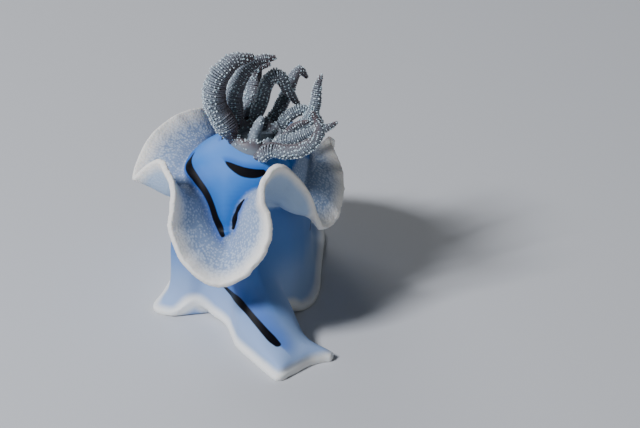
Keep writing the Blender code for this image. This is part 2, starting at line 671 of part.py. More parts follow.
def make_skirt():
    """The lobes, each half a gap short of its neighbours and of the back."""
    made = []
    shares = np.array([0.0, 0.18, 0.36, 0.54, 0.7, 0.85, 1.0])
    for name, (start, end) in SKIRT_LOBES.items():
        count = max(6, round((end - start) * 3.2))
        first = start + HALF_GAP / pace_round(np.full(len(shares), start), shares)
        last = end - HALF_GAP / pace_round(np.full(len(shares), end), shares)
        step = np.linspace(0, 1, count + 1)[:, None]
        places = first + (last - first) * step
        root = HALF_GAP / pace_out(places[:, 0])
        out = root[:, None] + (1 - root[:, None]) * shares
        made.append(closed_solid(name, *skirt_grid(places, out, ends=(start, end))))
    return made


def make_body():
    """The trunk, tail, head and foot, parted from one body after the mantle's bed is cut in it."""
    whole = body("body_whole")
    boolean(whole, mantle_cutters(), "DIFFERENCE")
    height = np.array([0.0, 0.0, 60.0])
    lengths = {
        "tail": (True, None, TAIL_CUT),
        "trunk_rear": (True, TAIL_CUT, REAR_CUT),
        "trunk_middle": (True, REAR_CUT, MIDDLE_CUT),
        "trunk_front": (True, MIDDLE_CUT, HEAD_CUT),
        "head": (True, HEAD_CUT, None),
        "foot_rear": (False, None, REAR_CUT),
        "foot_middle": (False, REAR_CUT, HEAD_CUT),
        "foot_front": (False, HEAD_CUT, None),
    }
    made = []
    for name, (flesh_side, start, end) in lengths.items():
        piece = copy_of(whole, name)
        face = foot_top(HALF_GAP if flesh_side else -HALF_GAP)
        above = closed_solid("above_foot", face + height, face)
        boolean(piece, [above], "INTERSECT" if flesh_side else "DIFFERENCE")
        if start:
            boolean(piece, [half_space(start, True)], "INTERSECT")
        if end:
            boolean(piece, [half_space(end, False)], "INTERSECT")
        keep_largest(piece, flatten=3.0)
        made.append(piece)
    bpy.data.objects.remove(whole, do_unlink=True)
    return made


def back_bed(name, grow=GAP):
    """The back with a gap's thickness over it, to trim what stands on it."""
    ys = back_ys(*back_reach(0.0))
    upper, lower = back_grid(ys, np.linspace(-1, 1, 13), grow=grow)
    return closed_solid(name, upper, lower)


def back_height(x, y):
    """Height of the back at a place on it."""
    upper, _ = back_grid(np.array([float(y)]), np.linspace(-1, 1, 41))
    return float(np.interp(x, upper[0, :, 0], upper[0, :, 2]))


def collar(name, centre, radius, wall, height, grow=0.0):
    """A low raised ring that follows the back: the gills' base, or a rhinophore sheath."""
    turns = 16
    upper = np.empty((turns, 3, 3))
    lower = np.empty_like(upper)
    for k in range(turns):
        angle = 2 * math.pi * k / turns
        for c, (out, rise) in enumerate(((-0.5, 0.6), (0.0, 1.0), (0.5, 0.3))):
            reach = radius + (wall + 2 * grow) * out
            x = centre[0] + reach * math.cos(angle)
            y = centre[1] + reach * math.sin(angle)
            z = back_height(x, y)
            upper[k, c] = (x, y, z + GAP + height * rise + grow)
            lower[k, c] = (x, y, z - 0.6)
    rim = ring_solid(name, upper, lower)
    if not grow:
        boolean(rim, [back_bed("bed")], "DIFFERENCE")
    return rim


def leaf_frames(points, samples, stem_set, facing):
    """Places along a gill leaf with their directions: ahead, outward and sideways; and its length."""
    path = through(points, np.linspace(0, len(points) - 1, 240))
    run = np.concatenate([[0], np.cumsum(np.linalg.norm(np.diff(path, axis=0), axis=1))])
    at = np.linspace(0, run[-1], samples)
    places = np.stack([np.interp(at, run, path[:, k]) for k in range(3)], axis=-1)
    ahead = unit(np.gradient(places, axis=0))
    side = unit(np.array(facing) - ahead * (ahead @ np.array(facing))[:, None])
    away = np.cross(side, ahead)
    places = places - away * stem_set * ease(np.linspace(0, 3.5, samples))[:, None]
    return places, ahead, away, side, run[-1]


def pinna(name, place, direction, along, length):
    """One flap of a gill leaf: a four-sided taper that is wider along the leaf than it is thick."""
    shell = bmesh.new()
    direction, along = Vector(direction), Vector(along)
    across = direction.cross(along).normalized()
    along = across.cross(direction)
    frame = Matrix((along, across, direction)).transposed().to_4x4()
    quarter = Matrix.Rotation(math.pi / 4, 4, "Z")
    bmesh.ops.create_cone(
        shell, cap_ends=True, segments=4, radius1=1.0, radius2=PINNA_TAPER, depth=length,
        matrix=Matrix.Translation((0, 0, length / 2)) @ quarter,
    )
    size = Matrix.Diagonal((PINNA_WIDTH, PINNA_THICKNESS, 1, 1))
    bmesh.ops.transform(shell, matrix=size, verts=shell.verts)
    bmesh.ops.transform(shell, matrix=Matrix.Translation(Vector(place)) @ frame, verts=shell.verts)
    bmesh.ops.triangulate(shell, faces=shell.faces)
    return finish_mesh(shell, bpy.data.meshes.new(name), name)


def stem_radius(share):
    return np.interp(share, [0, 0.25, 0.5, 0.75, 1.0], RACHIS_RADII)


def flap_is_clear(line, others, flaps):
    """Whether a flap's middle line keeps off the other stems, their flaps and the gills' base."""
    for places, radii in others:
        away = np.linalg.norm(line[:, None] - places[None], axis=-1) - radii
        if away.min() < FLAP_HALF + GAP:
            return False
    for other in flaps:
        if np.linalg.norm(line[:, None] - other[None], axis=-1).min() < 2 * FLAP_HALF + GAP:
            return False
    for x, y, z in line[2:]:
        off = abs(math.hypot(x - GILL_CENTRE[0], y - GILL_CENTRE[1]) - GILL_RING)
        base = GILL_BASE_HEIGHT + GAP if off < GILL_BASE_WIDTH / 2 + GAP + FLAP_HALF else 0.0
        if z - back_height(x, y) < base + 2 * GAP + FLAP_HALF:
            return False
    return True


def plan_flaps():
    """For each gill leaf its flaps: place, direction, the leaf's direction and length."""
    frames = [
        leaf_frames(points, STEM_SAMPLES, stem_set, facing)
        for points, (_, _, stem_set, _, facing) in zip(GILL_LEAVES, LEAF_FORMS)
    ]
    radii = stem_radius(np.linspace(0, 1, STEM_SAMPLES))
    stems = [(frame[0], radii * form[3]) for frame, form in zip(frames, LEAF_FORMS)]
    plan, lines = [], []
    for number, (longest, half_width, *_) in enumerate(LEAF_FORMS):
        places, ahead, away, side, length = frames[number]
        others = [stem for k, stem in enumerate(stems) if k != number]
        flaps, own = [], []
        for k in range(int((length - PINNA_START) / PINNA_PITCH) + 1):
            for hand in (-1, 1):
                share = min(1.0, (PINNA_START + PINNA_PITCH * (k + PINNA_STAGGER * hand)) / length)
                row = int(share * (STEM_SAMPLES - 1))
                swell = math.sin(math.pi * min(1.0, 0.28 + 0.7 * share)) ** 0.5
                outward = side[row] * hand * half_width + away[row] * longest
                direction = unit(outward + ahead[row] * PINNA_LEAN)
                for part in PINNA_TRIES:
                    reach = longest * (0.3 + 0.7 * swell) * part
                    line = places[row] + direction * np.linspace(0, reach, 6)[:, None]
                    if flap_is_clear(line, others, lines):
                        flaps.append((places[row], direction, ahead[row], reach))
                        own.append(line)
                        break
        plan.append(flaps)
        lines += own
    return plan


def gill_leaf(number, points, form, flap_plan):
    """A stem with a row of flaps down each side, widest below its middle."""
    name = f"gill_leaf_{number}"
    samples = 10
    _, _, stem_set, stem_size, facing = form
    places = leaf_frames(points, samples, stem_set, facing)[0]
    stem = tube(name, places, np.array(RACHIS_RADII) * stem_size, sides=4, samples=samples)
    base = collar("base_bed", GILL_CENTRE, GILL_RING, GILL_BASE_WIDTH, GILL_BASE_HEIGHT, GAP)
    boolean(stem, [back_bed("bed")], "DIFFERENCE")
    boolean(stem, [base], "DIFFERENCE")
    flaps = [pinna(f"{name}_{k}", *flap) for k, flap in enumerate(flap_plan)]
    boolean(stem, flaps, "UNION", "MANIFOLD")
    keep_largest(stem, flatten=0.5)
    return stem


def papilla():
    stem = tube("anal_papilla", PAPILLA, PAPILLA_RADII, sides=8, samples=8)
    boolean(stem, [back_bed("bed")], "DIFFERENCE")
    return stem


def turned(name, profile, segments=10):
    """A turned shape about the z axis from an outline that runs top to bottom at +X."""
    mesh = bpy.data.meshes.new(name)
    mesh.from_pydata([(r, 0.0, z) for r, z in profile], [(k, k + 1) for k in range(len(profile) - 1)], [])
    holder = bpy.data.objects.new(name + "_outline", mesh)
    helpers.objects.link(holder)
    screw = holder.modifiers.new("turn", "SCREW")
    screw.steps = screw.render_steps = segments
    screw.use_merge_vertices = True
    screw.merge_threshold = 1e-4
    graph = bpy.context.evaluated_depsgraph_get()
    solid = bpy.data.meshes.new_from_object(holder.evaluated_get(graph))
    bpy.data.objects.remove(holder, do_unlink=True)
    shell = bmesh.new()
    shell.from_mesh(solid)
    bmesh.ops.remove_doubles(shell, verts=shell.verts, dist=1e-4)
    bmesh.ops.triangulate(shell, faces=shell.faces)
    return finish_mesh(shell, solid, name)


def rhinophore(side, x, y, lean):
    """A stalk below and a club of stacked leaflets above."""
    base = back_height(x, y)
    profile = [(0.0, RHINOPHORE_HEIGHT), (0.2, RHINOPHORE_HEIGHT - 0.08)]
    top = RHINOPHORE_HEIGHT - 0.25
    rise = (top - CLUB_BOTTOM) / CLUB_LEAFLETS
    for k in range(CLUB_LEAFLETS):
        share = (k + 0.5) / CLUB_LEAFLETS
        z = top - (top - CLUB_BOTTOM) * share
        swell = CLUB_RADIUS * math.sin(math.pi * (0.18 + 0.66 * share)) ** 0.7
        profile += [(swell * 0.72, z + rise * 0.38), (swell, z), (swell * 0.72, z - rise * 0.3)]
    profile += [(STALK_RADIUS, 0.75), (STALK_RADIUS * 1.1, -0.8), (0.0, -0.8)]
    club_solid = turned(f"rhinophore_{side}", profile)
    turn = Matrix.Rotation(lean, 4, "Y") @ Matrix.Rotation(RHINOPHORE_BACK, 4, "X")
    club_solid.data.transform(Matrix.Translation((x, y, base)) @ turn)
    boolean(club_solid, [back_bed("bed")], "DIFFERENCE")
    return club_solid


def finish_head(head):
    """The mouth: a rounded pair of lips round a short slit."""
    bpy.ops.mesh.primitive_torus_add(
        major_segments=20, minor_segments=8, major_radius=LIP_RADIUS, minor_radius=LIP_THICKNESS,
    )
    lips = bpy.context.object
    bpy.ops.mesh.primitive_uv_sphere_add(segments=16, ring_count=8, radius=SLIT_RADIUS)
    slit = bpy.context.object
    for piece, scale in ((lips, LIP_SCALE), (slit, SLIT_SCALE)):
        piece.data.transform(Matrix.Diagonal((*scale, 1.0)))
        piece.data.transform(Matrix.Rotation(math.radians(MOUTH_TIP_BACK), 4, "X"))
        piece.data.transform(Matrix.Translation(MOUTH))
        for home in list(piece.users_collection):
            home.objects.unlink(piece)
        helpers.objects.link(piece)
    boolean(head, [lips], "UNION")
    boolean(head, [slit], "DIFFERENCE")


def make_tentacles():
    made = []
    for side, points in ORAL_TENTACLES.items():
        cone = tube(f"oral_tentacle_{side}", points, TENTACLE_RADII, sides=8, samples=7)
        boolean(cone, [body("body_bed", grow=GAP)], "DIFFERENCE")
        made.append(cone)
    return made


def place_in_metres(obj):
    obj.data.transform(Matrix.Translation(-Vector(SOLE_CENTRE)))
    obj.data.transform(Matrix.Scale(METRE, 4))


clear_scene()
slug = bpy.data.collections.new("sea_slug")
bpy.context.scene.collection.children.link(slug)
helpers = bpy.data.collections.new("sea_slug_helpers")
helpers.hide_render = True
bpy.context.scene.collection.children.link(helpers)

flesh = material("blue flesh", BLUE, 0.45)
pale_flesh = material("pale foot and tail flesh", PALE_BLUE, 0.45)
frill = material("grey-white mantle skirt", SKIRT_GREY, 0.5)
gill = material("grey-brown gill", GILL_GREY, 0.4)
horn = material("rhinophore", RHINOPHORE_BLUE, 0.4)

nodes = []
for piece in make_body():
    nodes.append((piece, pale_flesh))
head_node = next(piece for piece, _ in nodes if piece.name == "head")
finish_head(head_node)
for piece in make_back():
    nodes.append((piece, flesh))
for piece in make_skirt():
    nodes.append((piece, frill))
for piece in make_tentacles():
    nodes.append((piece, pale_flesh))
nodes.append((collar("gill_base", GILL_CENTRE, GILL_RING, GILL_BASE_WIDTH, GILL_BASE_HEIGHT), gill))
for number, leaf in enumerate(zip(GILL_LEAVES, LEAF_FORMS, plan_flaps()), start=1):
    nodes.append((gill_leaf(number, *leaf), gill))
nodes.append((papilla(), pale_flesh))
for side, (x, y, lean) in RHINOPHORES.items():
    sheath = collar(f"rhinophore_sheath_{side}", (x, y), SHEATH_RADIUS, SHEATH_WALL, SHEATH_HEIGHT)
    nodes.append((sheath, flesh))
    nodes.append((rhinophore(side, x, y, lean), horn))

for piece, finish in nodes:
    place_in_metres(piece)
    piece.data.materials.clear()
    piece.data.materials.append(finish)
    for home in list(piece.users_collection):
        home.objects.unlink(piece)
    slug.objects.link(piece)
    piece.data.shade_smooth()
    piece.data.set_sharp_from_angle(angle=math.radians(40))
bpy.data.collections.remove(helpers)
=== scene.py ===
"""The looks of a chromodorid nudibranch: a life-size sea slug creeping on its foot, gills spread.

Shapes are worked out in millimetres from a corner of the foot and moved to the frame at the end.
"""

import math

import bpy
import numpy as np
from mathutils import Matrix, Vector
from mathutils.bvhtree import BVHTree
from mathutils.kdtree import KDTree


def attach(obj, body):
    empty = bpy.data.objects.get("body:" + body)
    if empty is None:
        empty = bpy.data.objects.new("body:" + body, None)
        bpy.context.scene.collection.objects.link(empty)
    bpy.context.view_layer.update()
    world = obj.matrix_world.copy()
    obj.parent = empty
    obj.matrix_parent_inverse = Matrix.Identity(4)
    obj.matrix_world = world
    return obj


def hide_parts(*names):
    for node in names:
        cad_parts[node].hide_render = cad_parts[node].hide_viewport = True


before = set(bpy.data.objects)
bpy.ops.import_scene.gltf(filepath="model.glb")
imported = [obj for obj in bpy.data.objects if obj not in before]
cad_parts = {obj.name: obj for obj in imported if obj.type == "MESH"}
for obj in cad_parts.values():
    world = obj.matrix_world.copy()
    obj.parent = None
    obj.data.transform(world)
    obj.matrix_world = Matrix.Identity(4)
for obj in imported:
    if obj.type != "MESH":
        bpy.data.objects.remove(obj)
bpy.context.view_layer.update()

# The body is one bag of bare, wet muscle: a trunk that narrows to a pointed tail, on a broad foot
# whose thin margin spreads over the ground. It is lofted from sections across it, tail end first.
METRE = 0.001
SOLE_CENTRE = np.array([2.0, 8.0, 0.0])

# Left and right foot margin (x, y, lift), ridge (x, y, z), share of the half-width that stands as
# flank, and how square the flank is.
BODY = [
    ((9.1, -6.55, 0.0), (9.4, -5.75, 0.0), (9.2, -6.15, 0.7), 1.0, 1.2),
    ((8.2, -6.8, 0.0), (8.7, -5.4, 0.0), (8.4, -6.1, 1.2), 0.92, 1.4),
    ((7.0, -7.5, 0.0), (8.0, -4.8, 0.0), (7.2, -6.2, 1.6), 0.9, 1.5),
    ((5.5, -9.1, 0.0), (7.4, -4.2, 0.0), (6.2, -6.1, 1.9), 0.9, 1.5),
    ((3.9, -10.5, 0.0), (6.9, -3.6, 0.0), (5.4, -5.5, 2.3), 0.9, 1.5),
    ((2.5, -8.6, 0.0), (6.5, -2.9, 0.0), (4.7, -4.6, 2.9), 0.9, 1.5),
    ((1.1, -6.2, 0.0), (6.1, -1.5, 0.1), (3.7, -3.6, 3.9), 0.9, 1.5),
    ((-0.3, -3.7, 0.0), (5.45, 0.1, 0.7), (2.8, -2.5, 5.3), 0.9, 1.5),
    ((-0.9, -1.3, 0.0), (4.6, 1.5, 1.3), (2.0, -1.5, 7.3), 0.88, 1.3),
    ((-1.5, 0.9, 0.0), (5.3, 2.9, 0.9), (1.5, 0.0, 10.4), 0.84, 1.0),
    ((-2.9, 2.7, 0.2), (6.4, 4.1, 0.0), (1.3, 2.0, 15.0), 0.8, 0.75),
    ((-4.7, 3.25, 1.2), (7.2, 5.2, 0.0), (1.2, 4.8, 17.0), 0.78, 0.55),
    ((-6.9, 2.75, 0.1), (7.7, 6.7, 0.0), (1.1, 7.4, 17.0), 0.8, 0.45),
    ((-8.9, 4.2, 0.0), (8.0, 8.6, 0.0), (1.0, 8.4, 17.0), 0.81, 0.45),
    ((-8.1, 7.3, 0.1), (8.1, 11.2, 0.3), (1.0, 9.8, 17.0), 0.85, 0.45),
    ((-7.2, 11.2, 0.0), (8.2, 14.2, 0.0), (1.3, 12.2, 17.0), 0.84, 0.45),
    ((-6.1, 15.2, 0.3), (8.4, 17.4, 0.3), (1.9, 16.0, 15.0), 0.78, 0.5),
    ((-4.4, 18.9, 0.0), (8.5, 20.3, 0.0), (2.6, 19.4, 10.6), 0.66, 0.6),
    ((-2.4, 21.6, 0.3), (8.2, 22.3, 0.3), (3.2, 21.6, 7.0), 0.58, 0.8),
    ((0.2, 23.4, 0.0), (6.8, 23.7, 0.0), (3.6, 23.3, 4.6), 0.56, 0.95),
    ((2.6, 24.0, 0.0), (4.9, 24.1, 0.0), (3.7, 24.0, 2.2), 0.6, 1.0),
]
FOOT_EDGE = 0.55
EDGE_OF_HEIGHT = 0.9
FLARE_OF_HEIGHT = 0.22
DOME_FULLNESS = 0.9
BODY_STEPS = 6
FLARE_STEPS = 8
DOME_STEPS = 12


def through(points, places, closed=False):
    """Points of a smooth curve through the given ones; a place is a number counted in points."""
    points = np.asarray(points, float)
    places = np.atleast_1d(np.asarray(places, float))
    count = len(points)
    first = np.floor(places).astype(int)
    if not closed:
        first = np.clip(first, 0, count - 2)
    part = (places - first)[:, None]
    if closed:
        a, b, c, d = (points[(first + k) % count] for k in (-1, 0, 1, 2))
    else:
        b, c = points[first], points[first + 1]
        a = np.where((first > 0)[:, None], points[first - 1], 2 * b - c)
        after = np.minimum(first + 2, count - 1)
        d = np.where((first + 2 < count)[:, None], points[after], 2 * c - b)
    slopes = (c - a) / 2, (d - b) / 2
    square, cube = part**2, part**3
    return (
        b * (2 * cube - 3 * square + 1)
        + slopes[0] * (cube - 2 * square + part)
        + c * (3 * square - 2 * cube)
        + slopes[1] * (cube - square)
    )


def ease(value):
    value = np.clip(value, 0, 1)
    return value * value * (3 - 2 * value)


def unit(vectors):
    return vectors / np.maximum(np.linalg.norm(vectors, axis=-1, keepdims=True), 1e-9)


def section_across(station):
    """One loop round the body: left foot margin, over the ridge, right margin, and back by the sole."""
    left, right, ridge = station[0:3], station[3:6], station[6:9]
    waist, square = station[9], station[10]
    halves = []
    for margin in (left, right):
        outward = margin[:2] - ridge[:2]
        lift, height = margin[2], ridge[2]
        edge = min(lift + FOOT_EDGE, height * EDGE_OF_HEIGHT)
        flare_top = edge + (height - edge) * FLARE_OF_HEIGHT
        flare = np.linspace(0, 1, FLARE_STEPS + 1)
        swing = np.linspace(0, math.pi / 2, DOME_STEPS + 1)[1:-1]
        out = np.concatenate([
            [1.0], 1 - (1 - waist) * (1 - (1 - flare) ** 2), waist * np.cos(swing) ** square,
        ])
        rise = np.concatenate([
            [lift], edge + (flare_top - edge) * flare**2,
            flare_top + (height - flare_top) * np.sin(swing) ** DOME_FULLNESS,
        ])
        halves.append(np.column_stack([ridge[:2] + outward * out[:, None], rise]))
    # Points under the sole: how far across, and how much of the margin's lift each keeps.
    sole = []
    for share, side, hold in ((0.1, right, 0.6), (0.3, right, 0.0), (0.7, left, 0.0), (0.9, left, 0.6)):
        sole.append((*(right[:2] * (1 - share) + left[:2] * share), side[2] * hold))
    return np.vstack([halves[0], [ridge], halves[1][::-1], sole])


def body_stations(steps):
    table = np.array([[*a, *b, *c, d, e] for a, b, c, d, e in BODY])
    stations = through(table, np.linspace(0, len(table) - 1, (len(table) - 1) * steps + 1))
    stations[:, [2, 5]] = np.maximum(stations[:, [2, 5]], 0.0)
    return stations


def sheet_faces(rows, columns, wrap_rows=False, wrap_columns=False):
    """Four-sided faces over a grid of points, as an array of corner numbers."""
    r = np.arange(rows if wrap_rows else rows - 1)
    c = np.arange(columns if wrap_columns else columns - 1)
    r, c = (grid.ravel() for grid in np.meshgrid(r, c, indexing="ij"))
    s, d = (r + 1) % rows, (c + 1) % columns
    return np.stack([r * columns + c, r * columns + d, s * columns + d, s * columns + c], axis=-1)


def lofted_body():
    sections = np.array([section_across(station) for station in body_stations(BODY_STEPS)])
    rows, columns = sections.shape[:2]
    faces = sheet_faces(rows, columns, wrap_columns=True).tolist()
    faces.append(list(range(columns)))
    faces.append([(rows - 1) * columns + k for k in range(columns)][::-1])
    return sections.reshape(-1, 3), faces


# The mantle lies on the trunk like a cloth: a smooth cap over the back, and a thin skirt that leaves
# the cap at a crease and runs out to a free margin, ruffled up here into three tall folds.
BACK_DEPTH = 1.15
SKIRT_ROOT_THICKNESS = 1.25
SKIRT_EDGE_THICKNESS = 0.6
SKIRT_THINNING = 0.7
SKIRT_ROOT_TURN = 0.35
CAP_LAP = 0.25
RUFFLE = 0.05
RUFFLE_WAVES = [(1.0, 4.3, 0.0), (0.9, 7.9, 1.0), (0.5, 12.7, 2.0)]
SKIRT_STEP = 0.06
SKIRT_SHARES = 36
STATION_STEPS = 40
RIDGE_CLEARANCE = 0.2
CAP_RIBS = 150
CAP_ACROSS = 61
HEAD_STATION = 14

# Ridge of the back, tail end first: x, y, top z, and the z where the cap meets the trunk.
RIDGE = np.array([
    (-0.9, -0.1, 11.4, 9.3),
    (-0.2, 0.9, 14.6, 10.6),
    (0.5, 2.2, 16.9, 12.2),
    (1.3, 4.2, 18.3, 13.6),
    (1.7, 7.0, 18.6, 14.0),
    (1.8, 10.2, 17.8, 13.6),
    (2.1, 13.8, 15.9, 12.0),
    (2.7, 17.6, 13.0, 9.6),
    (3.3, 21.8, 9.6, 7.2),
])

# Stations from the tail round by the left, the head and the right: margin, crease, sag.
MANTLE = [
    ((-2.3, -5.4, 7.8), (-1.0, -0.5, 10.3), 0.3),
    ((-5.0, -4.5, 9.5), (-2.0, 0.0, 11.3), 0.5),
    ((-6.6, -3.2, 12.6), (-2.7, 0.6, 12.7), 0.8),
    ((-6.3, -2.1, 16.2), (-3.5, 1.4, 14.3), 1.6),
    ((-7.4, 0.3, 18.5), (-4.4, 2.5, 15.2), 3.9),
    ((-9.0, 2.0, 17.3), (-5.0, 3.4, 15.6), 4.5),
    ((-10.5, 3.5, 15.3), (-5.2, 4.4, 15.8), 1.2),
    ((-9.9, 6.6, 16.5), (-4.9, 5.8, 16.0), 0.3),
    ((-8.6, 9.4, 17.6), (-4.2, 7.6, 16.0), 0.6),
    ((-6.4, 12.2, 18.2), (-3.2, 9.6, 15.9), 0.9),
    ((-4.0, 14.8, 17.7), (-2.4, 12.0, 15.3), 0.9),
    ((-3.1, 18.0, 14.9), (-1.6, 14.8, 14.1), 0.4),
    ((-2.2, 21.4, 11.2), (-0.7, 17.9, 11.8), -0.2),
    ((0.2, 24.2, 8.6), (0.9, 20.7, 9.6), -0.5),
    ((3.7, 25.4, 7.5), (3.3, 22.4, 8.5), -0.6),
    ((7.2, 24.0, 8.2), (5.5, 20.9, 9.3), -0.5),
    ((9.2, 20.8, 10.4), (6.7, 17.9, 11.4), -0.2),
    ((9.4, 16.9, 13.3), (7.0, 14.3, 13.1), 0.3),
    ((9.1, 12.9, 14.9), (6.8, 11.2, 14.1), 0.3),
    ((10.1, 10.0, 13.3), (6.6, 8.8, 14.1), -0.3),
    ((10.3, 7.4, 11.4), (6.4, 6.9, 13.9), -0.8),
    ((9.5, 5.0, 9.7), (6.1, 5.4, 13.6), -1.0),
    ((8.1, 3.0, 9.9), (5.7, 4.2, 13.4), -0.3),
    ((7.4, 1.4, 13.6), (5.2, 3.2, 13.5), 2.6),
    ((6.3, 0.0, 16.4), (4.5, 2.5, 13.9), 3.7),
    ((4.4, -1.9, 19.1), (3.3, 1.8, 14.6), 2.5),
    ((2.8, -3.2, 18.6), (1.9, 1.1, 14.9), 1.2),
    ((2.5, -4.1, 16.4), (0.9, 0.7, 14.5), 0.8),
    ((3.3, -5.0, 13.8), (0.1, 0.3, 13.6), 0.5),
    ((2.5, -5.7, 11.3), (-0.3, 0.0, 12.4), 0.3),
    ((0.6, -5.7, 8.9), (-0.6, -0.3, 11.1), 0.3),
]
MARGINS = np.array([station[0] for station in MANTLE])
CREASES = np.array([station[1] for station in MANTLE])
SAGS = np.array([[station[2]] for station in MANTLE])


def skirt(t, s):
    """Points of the skirt's middle line: t in stations, s from 0 at the crease to 1 at the margin."""
    margin = through(MARGINS, t, True)
    crease = through(CREASES, t, True)
    middle = (margin + crease) / 2 - through(SAGS, t, True) * np.array([0.0, 0.0, 1.0])
    s = np.asarray(s, float)[..., None]
    return crease * (1 - s) ** 2 + 2 * middle * s * (1 - s) + margin * s**2


def skirt_side(t, s):
    """The direction from the upper face into the flesh: straight down at the root."""
    step, wide = 0.02, 0.5
    along = skirt(t + wide, s) - skirt(t - wide, s)
    out = skirt(t, s + step) - skirt(t, s - step)
    turn = ease(s / SKIRT_ROOT_TURN)[..., None]
    return unit(np.array([0.0, 0.0, -1.0]) * (1 - turn) + unit(np.cross(out, along)) * turn)


def skirt_faces():
    """The skirt's stations, and its upper and lower points on a grid of stations and shares."""
    stations = np.arange(0, len(MANTLE), SKIRT_STEP)
    shares = np.linspace(0, 1, SKIRT_SHARES)
    upper = np.empty((len(stations), len(shares), 3))
    lower = np.empty_like(upper)
    waves = sum(height * np.sin(stations * pace + start) for height, pace, start in RUFFLE_WAVES)
    for c, share in enumerate(shares):
        s = np.full(len(stations), share)
        inward = skirt_side(stations, s)
        thinning = (SKIRT_ROOT_THICKNESS - SKIRT_EDGE_THICKNESS) * share**SKIRT_THINNING
        raised = SKIRT_EDGE_THICKNESS / 2 * ease(s / SKIRT_ROOT_TURN) + RUFFLE * waves * share**3
        upper[:, c] = skirt(stations, s) - inward * raised[:, None]
        lower[:, c] = upper[:, c] + inward * (SKIRT_ROOT_THICKNESS - thinning)
    return stations, upper, lower


def crease_lines(lap):
    """The crease on the left and on the right, tail to head, moved out level by the lap."""
    lines = []
    for start in (0, len(MANTLE)):
        places = np.linspace(start, HEAD_STATION, abs(HEAD_STATION - start) * STATION_STEPS)
        points = through(CREASES, places, True)
        after, before = (through(CREASES, places + step, True)[:, :2] for step in (0.01, -0.01))
        along = unit(after - before)
        points[:, 0] -= along[:, 1] * lap
        points[:, 1] += along[:, 0] * lap
        lines.append(points[np.argsort(points[:, 1], kind="stable")])
    return lines


def cap_faces(ribs, across, lap):
    """Upper and lower points of the cap, as ribs from the left crease to the right."""
    left, right = crease_lines(lap)
    low, high = max(left[0, 1], right[0, 1]), min(left[-1, 1], right[-1, 1])
    ys = np.linspace(low, high, ribs)[1:-1] if np.isscalar(ribs) else np.asarray(ribs)
    fine = through(RIDGE, np.linspace(0, len(RIDGE) - 1, len(RIDGE) * STATION_STEPS))
    *sides, ridge = (
        np.stack([np.interp(ys, line[:, 1], column) for column in line.T], -1)
        for line in (left, right, fine)
    )
    ridge[:, 0] = np.clip(ridge[:, 0], sides[0][:, 0] + RIDGE_CLEARANCE, sides[1][:, 0] - RIDGE_CLEARANCE)
    upper = np.empty((len(ys), len(across), 3))
    lower = np.empty_like(upper)
    for c, share in enumerate(across):
        crease = sides[0] if share < 0 else sides[1]
        swing = abs(share) * math.pi / 2
        x = ridge[:, 0] + (crease[:, 0] - ridge[:, 0]) * math.sin(swing)
        top = crease[:, 2] + (ridge[:, 2] - crease[:, 2]) * math.cos(swing)
        floor = ridge[:, 3] + (crease[:, 2] - BACK_DEPTH - ridge[:, 3]) * math.sin(swing)
        upper[:, c] = np.stack([x, ys, top], axis=-1)
        lower[:, c] = np.stack([x, ys, floor], axis=-1)
    return upper, lower


def back_height(x, y):
    upper, _ = cap_faces([float(y)], np.linspace(-1, 1, 41), 0.0)
    return float(np.interp(x, upper[0, :, 0], upper[0, :, 2]))


def slab(upper, lower, ring=False):
    """A closed shell between two grids of points; a ring's rows run once round."""
    rows, columns = upper.shape[:2]
    count = rows * columns
    top = sheet_faces(rows, columns, wrap_rows=ring)
    faces = [top, top[:, ::-1] + count]
    edges = [(np.arange(rows) * columns, 1), (np.arange(rows) * columns + columns - 1, -1)]
    if not ring:
        edges += [(np.arange(columns), -1), (np.arange(columns) + (rows - 1) * columns, 1)]
    for line, order in edges:
        ahead = np.roll(line, -1) if ring else line[1:]
        line = line if ring else line[:-1]
        faces.append(np.stack([line, ahead, ahead + count, line + count], axis=-1)[:, ::order])
    return np.vstack([upper.reshape(-1, 3), lower.reshape(-1, 3)]), np.vstack(faces).tolist()


# Small soft parts grow out of the same skin: the vent's papilla amid the gills, a low sheath round
# each feeler, and on the head two short oral tentacles beside round lips with a slit for a mouth.
PAPILLA = [(1.3, 5.3, 18.0), (1.6, 5.3, 19.2), (2.0, 5.4, 20.2), (2.3, 5.4, 20.9)]
PAPILLA_RADII = (0.75, 0.58, 0.5, 0.32)
VENT = np.array([1.75, 6.1, 18.4])
VENT_REACH = 2.4
RHINOPHORES = {"left": (1.7, 19.3, -0.12), "right": (4.5, 19.3, 0.14)}
SHEATH_RADIUS = 0.9
SHEATH_WALL = 0.3
SHEATH_HEIGHT = 0.75
MANTLE_DEPTH = 2.5
ORAL_TENTACLES = {
    "left": [(1.9, 22.2, 2.6), (1.2, 23.4, 2.5), (0.7, 24.3, 2.2)],
    "right": [(5.4, 22.3, 2.6), (6.2, 23.4, 2.5), (6.8, 24.3, 2.2)],
}
TENTACLE_RADII = (0.52, 0.44, 0.26)
MOUTH = np.array([3.7, 23.4, 2.3])
MOUTH_TIP_BACK = math.radians(80)
LIP_RADIUS = 0.62
LIP_SIZE = (LIP_RADIUS * 1.25, LIP_RADIUS * 0.7)
LIP_THICKNESS = 0.3
LIP_SIDES = (48, 16)
SLIT_SIZE = (0.72, 0.2, 0.7)
SLIT_DEPTH = 0.5
SLIT_STEEPNESS = 1.6
INTO_MOUTH = (0.0, -1.0, 0.25)
END_ROUNDING = 0.6


def tube_faces(rings, sides):
    """Faces of a closed tube, whose points are its rings, then its start and its end."""
    count = rings * sides
    faces = sheet_faces(rings, sides, wrap_columns=True).tolist()
    for k in range(sides):
        m = (k + 1) % sides
        faces.append([count, m, k])
        faces.append([count + 1, count - sides + k, count - sides + m])
    return faces


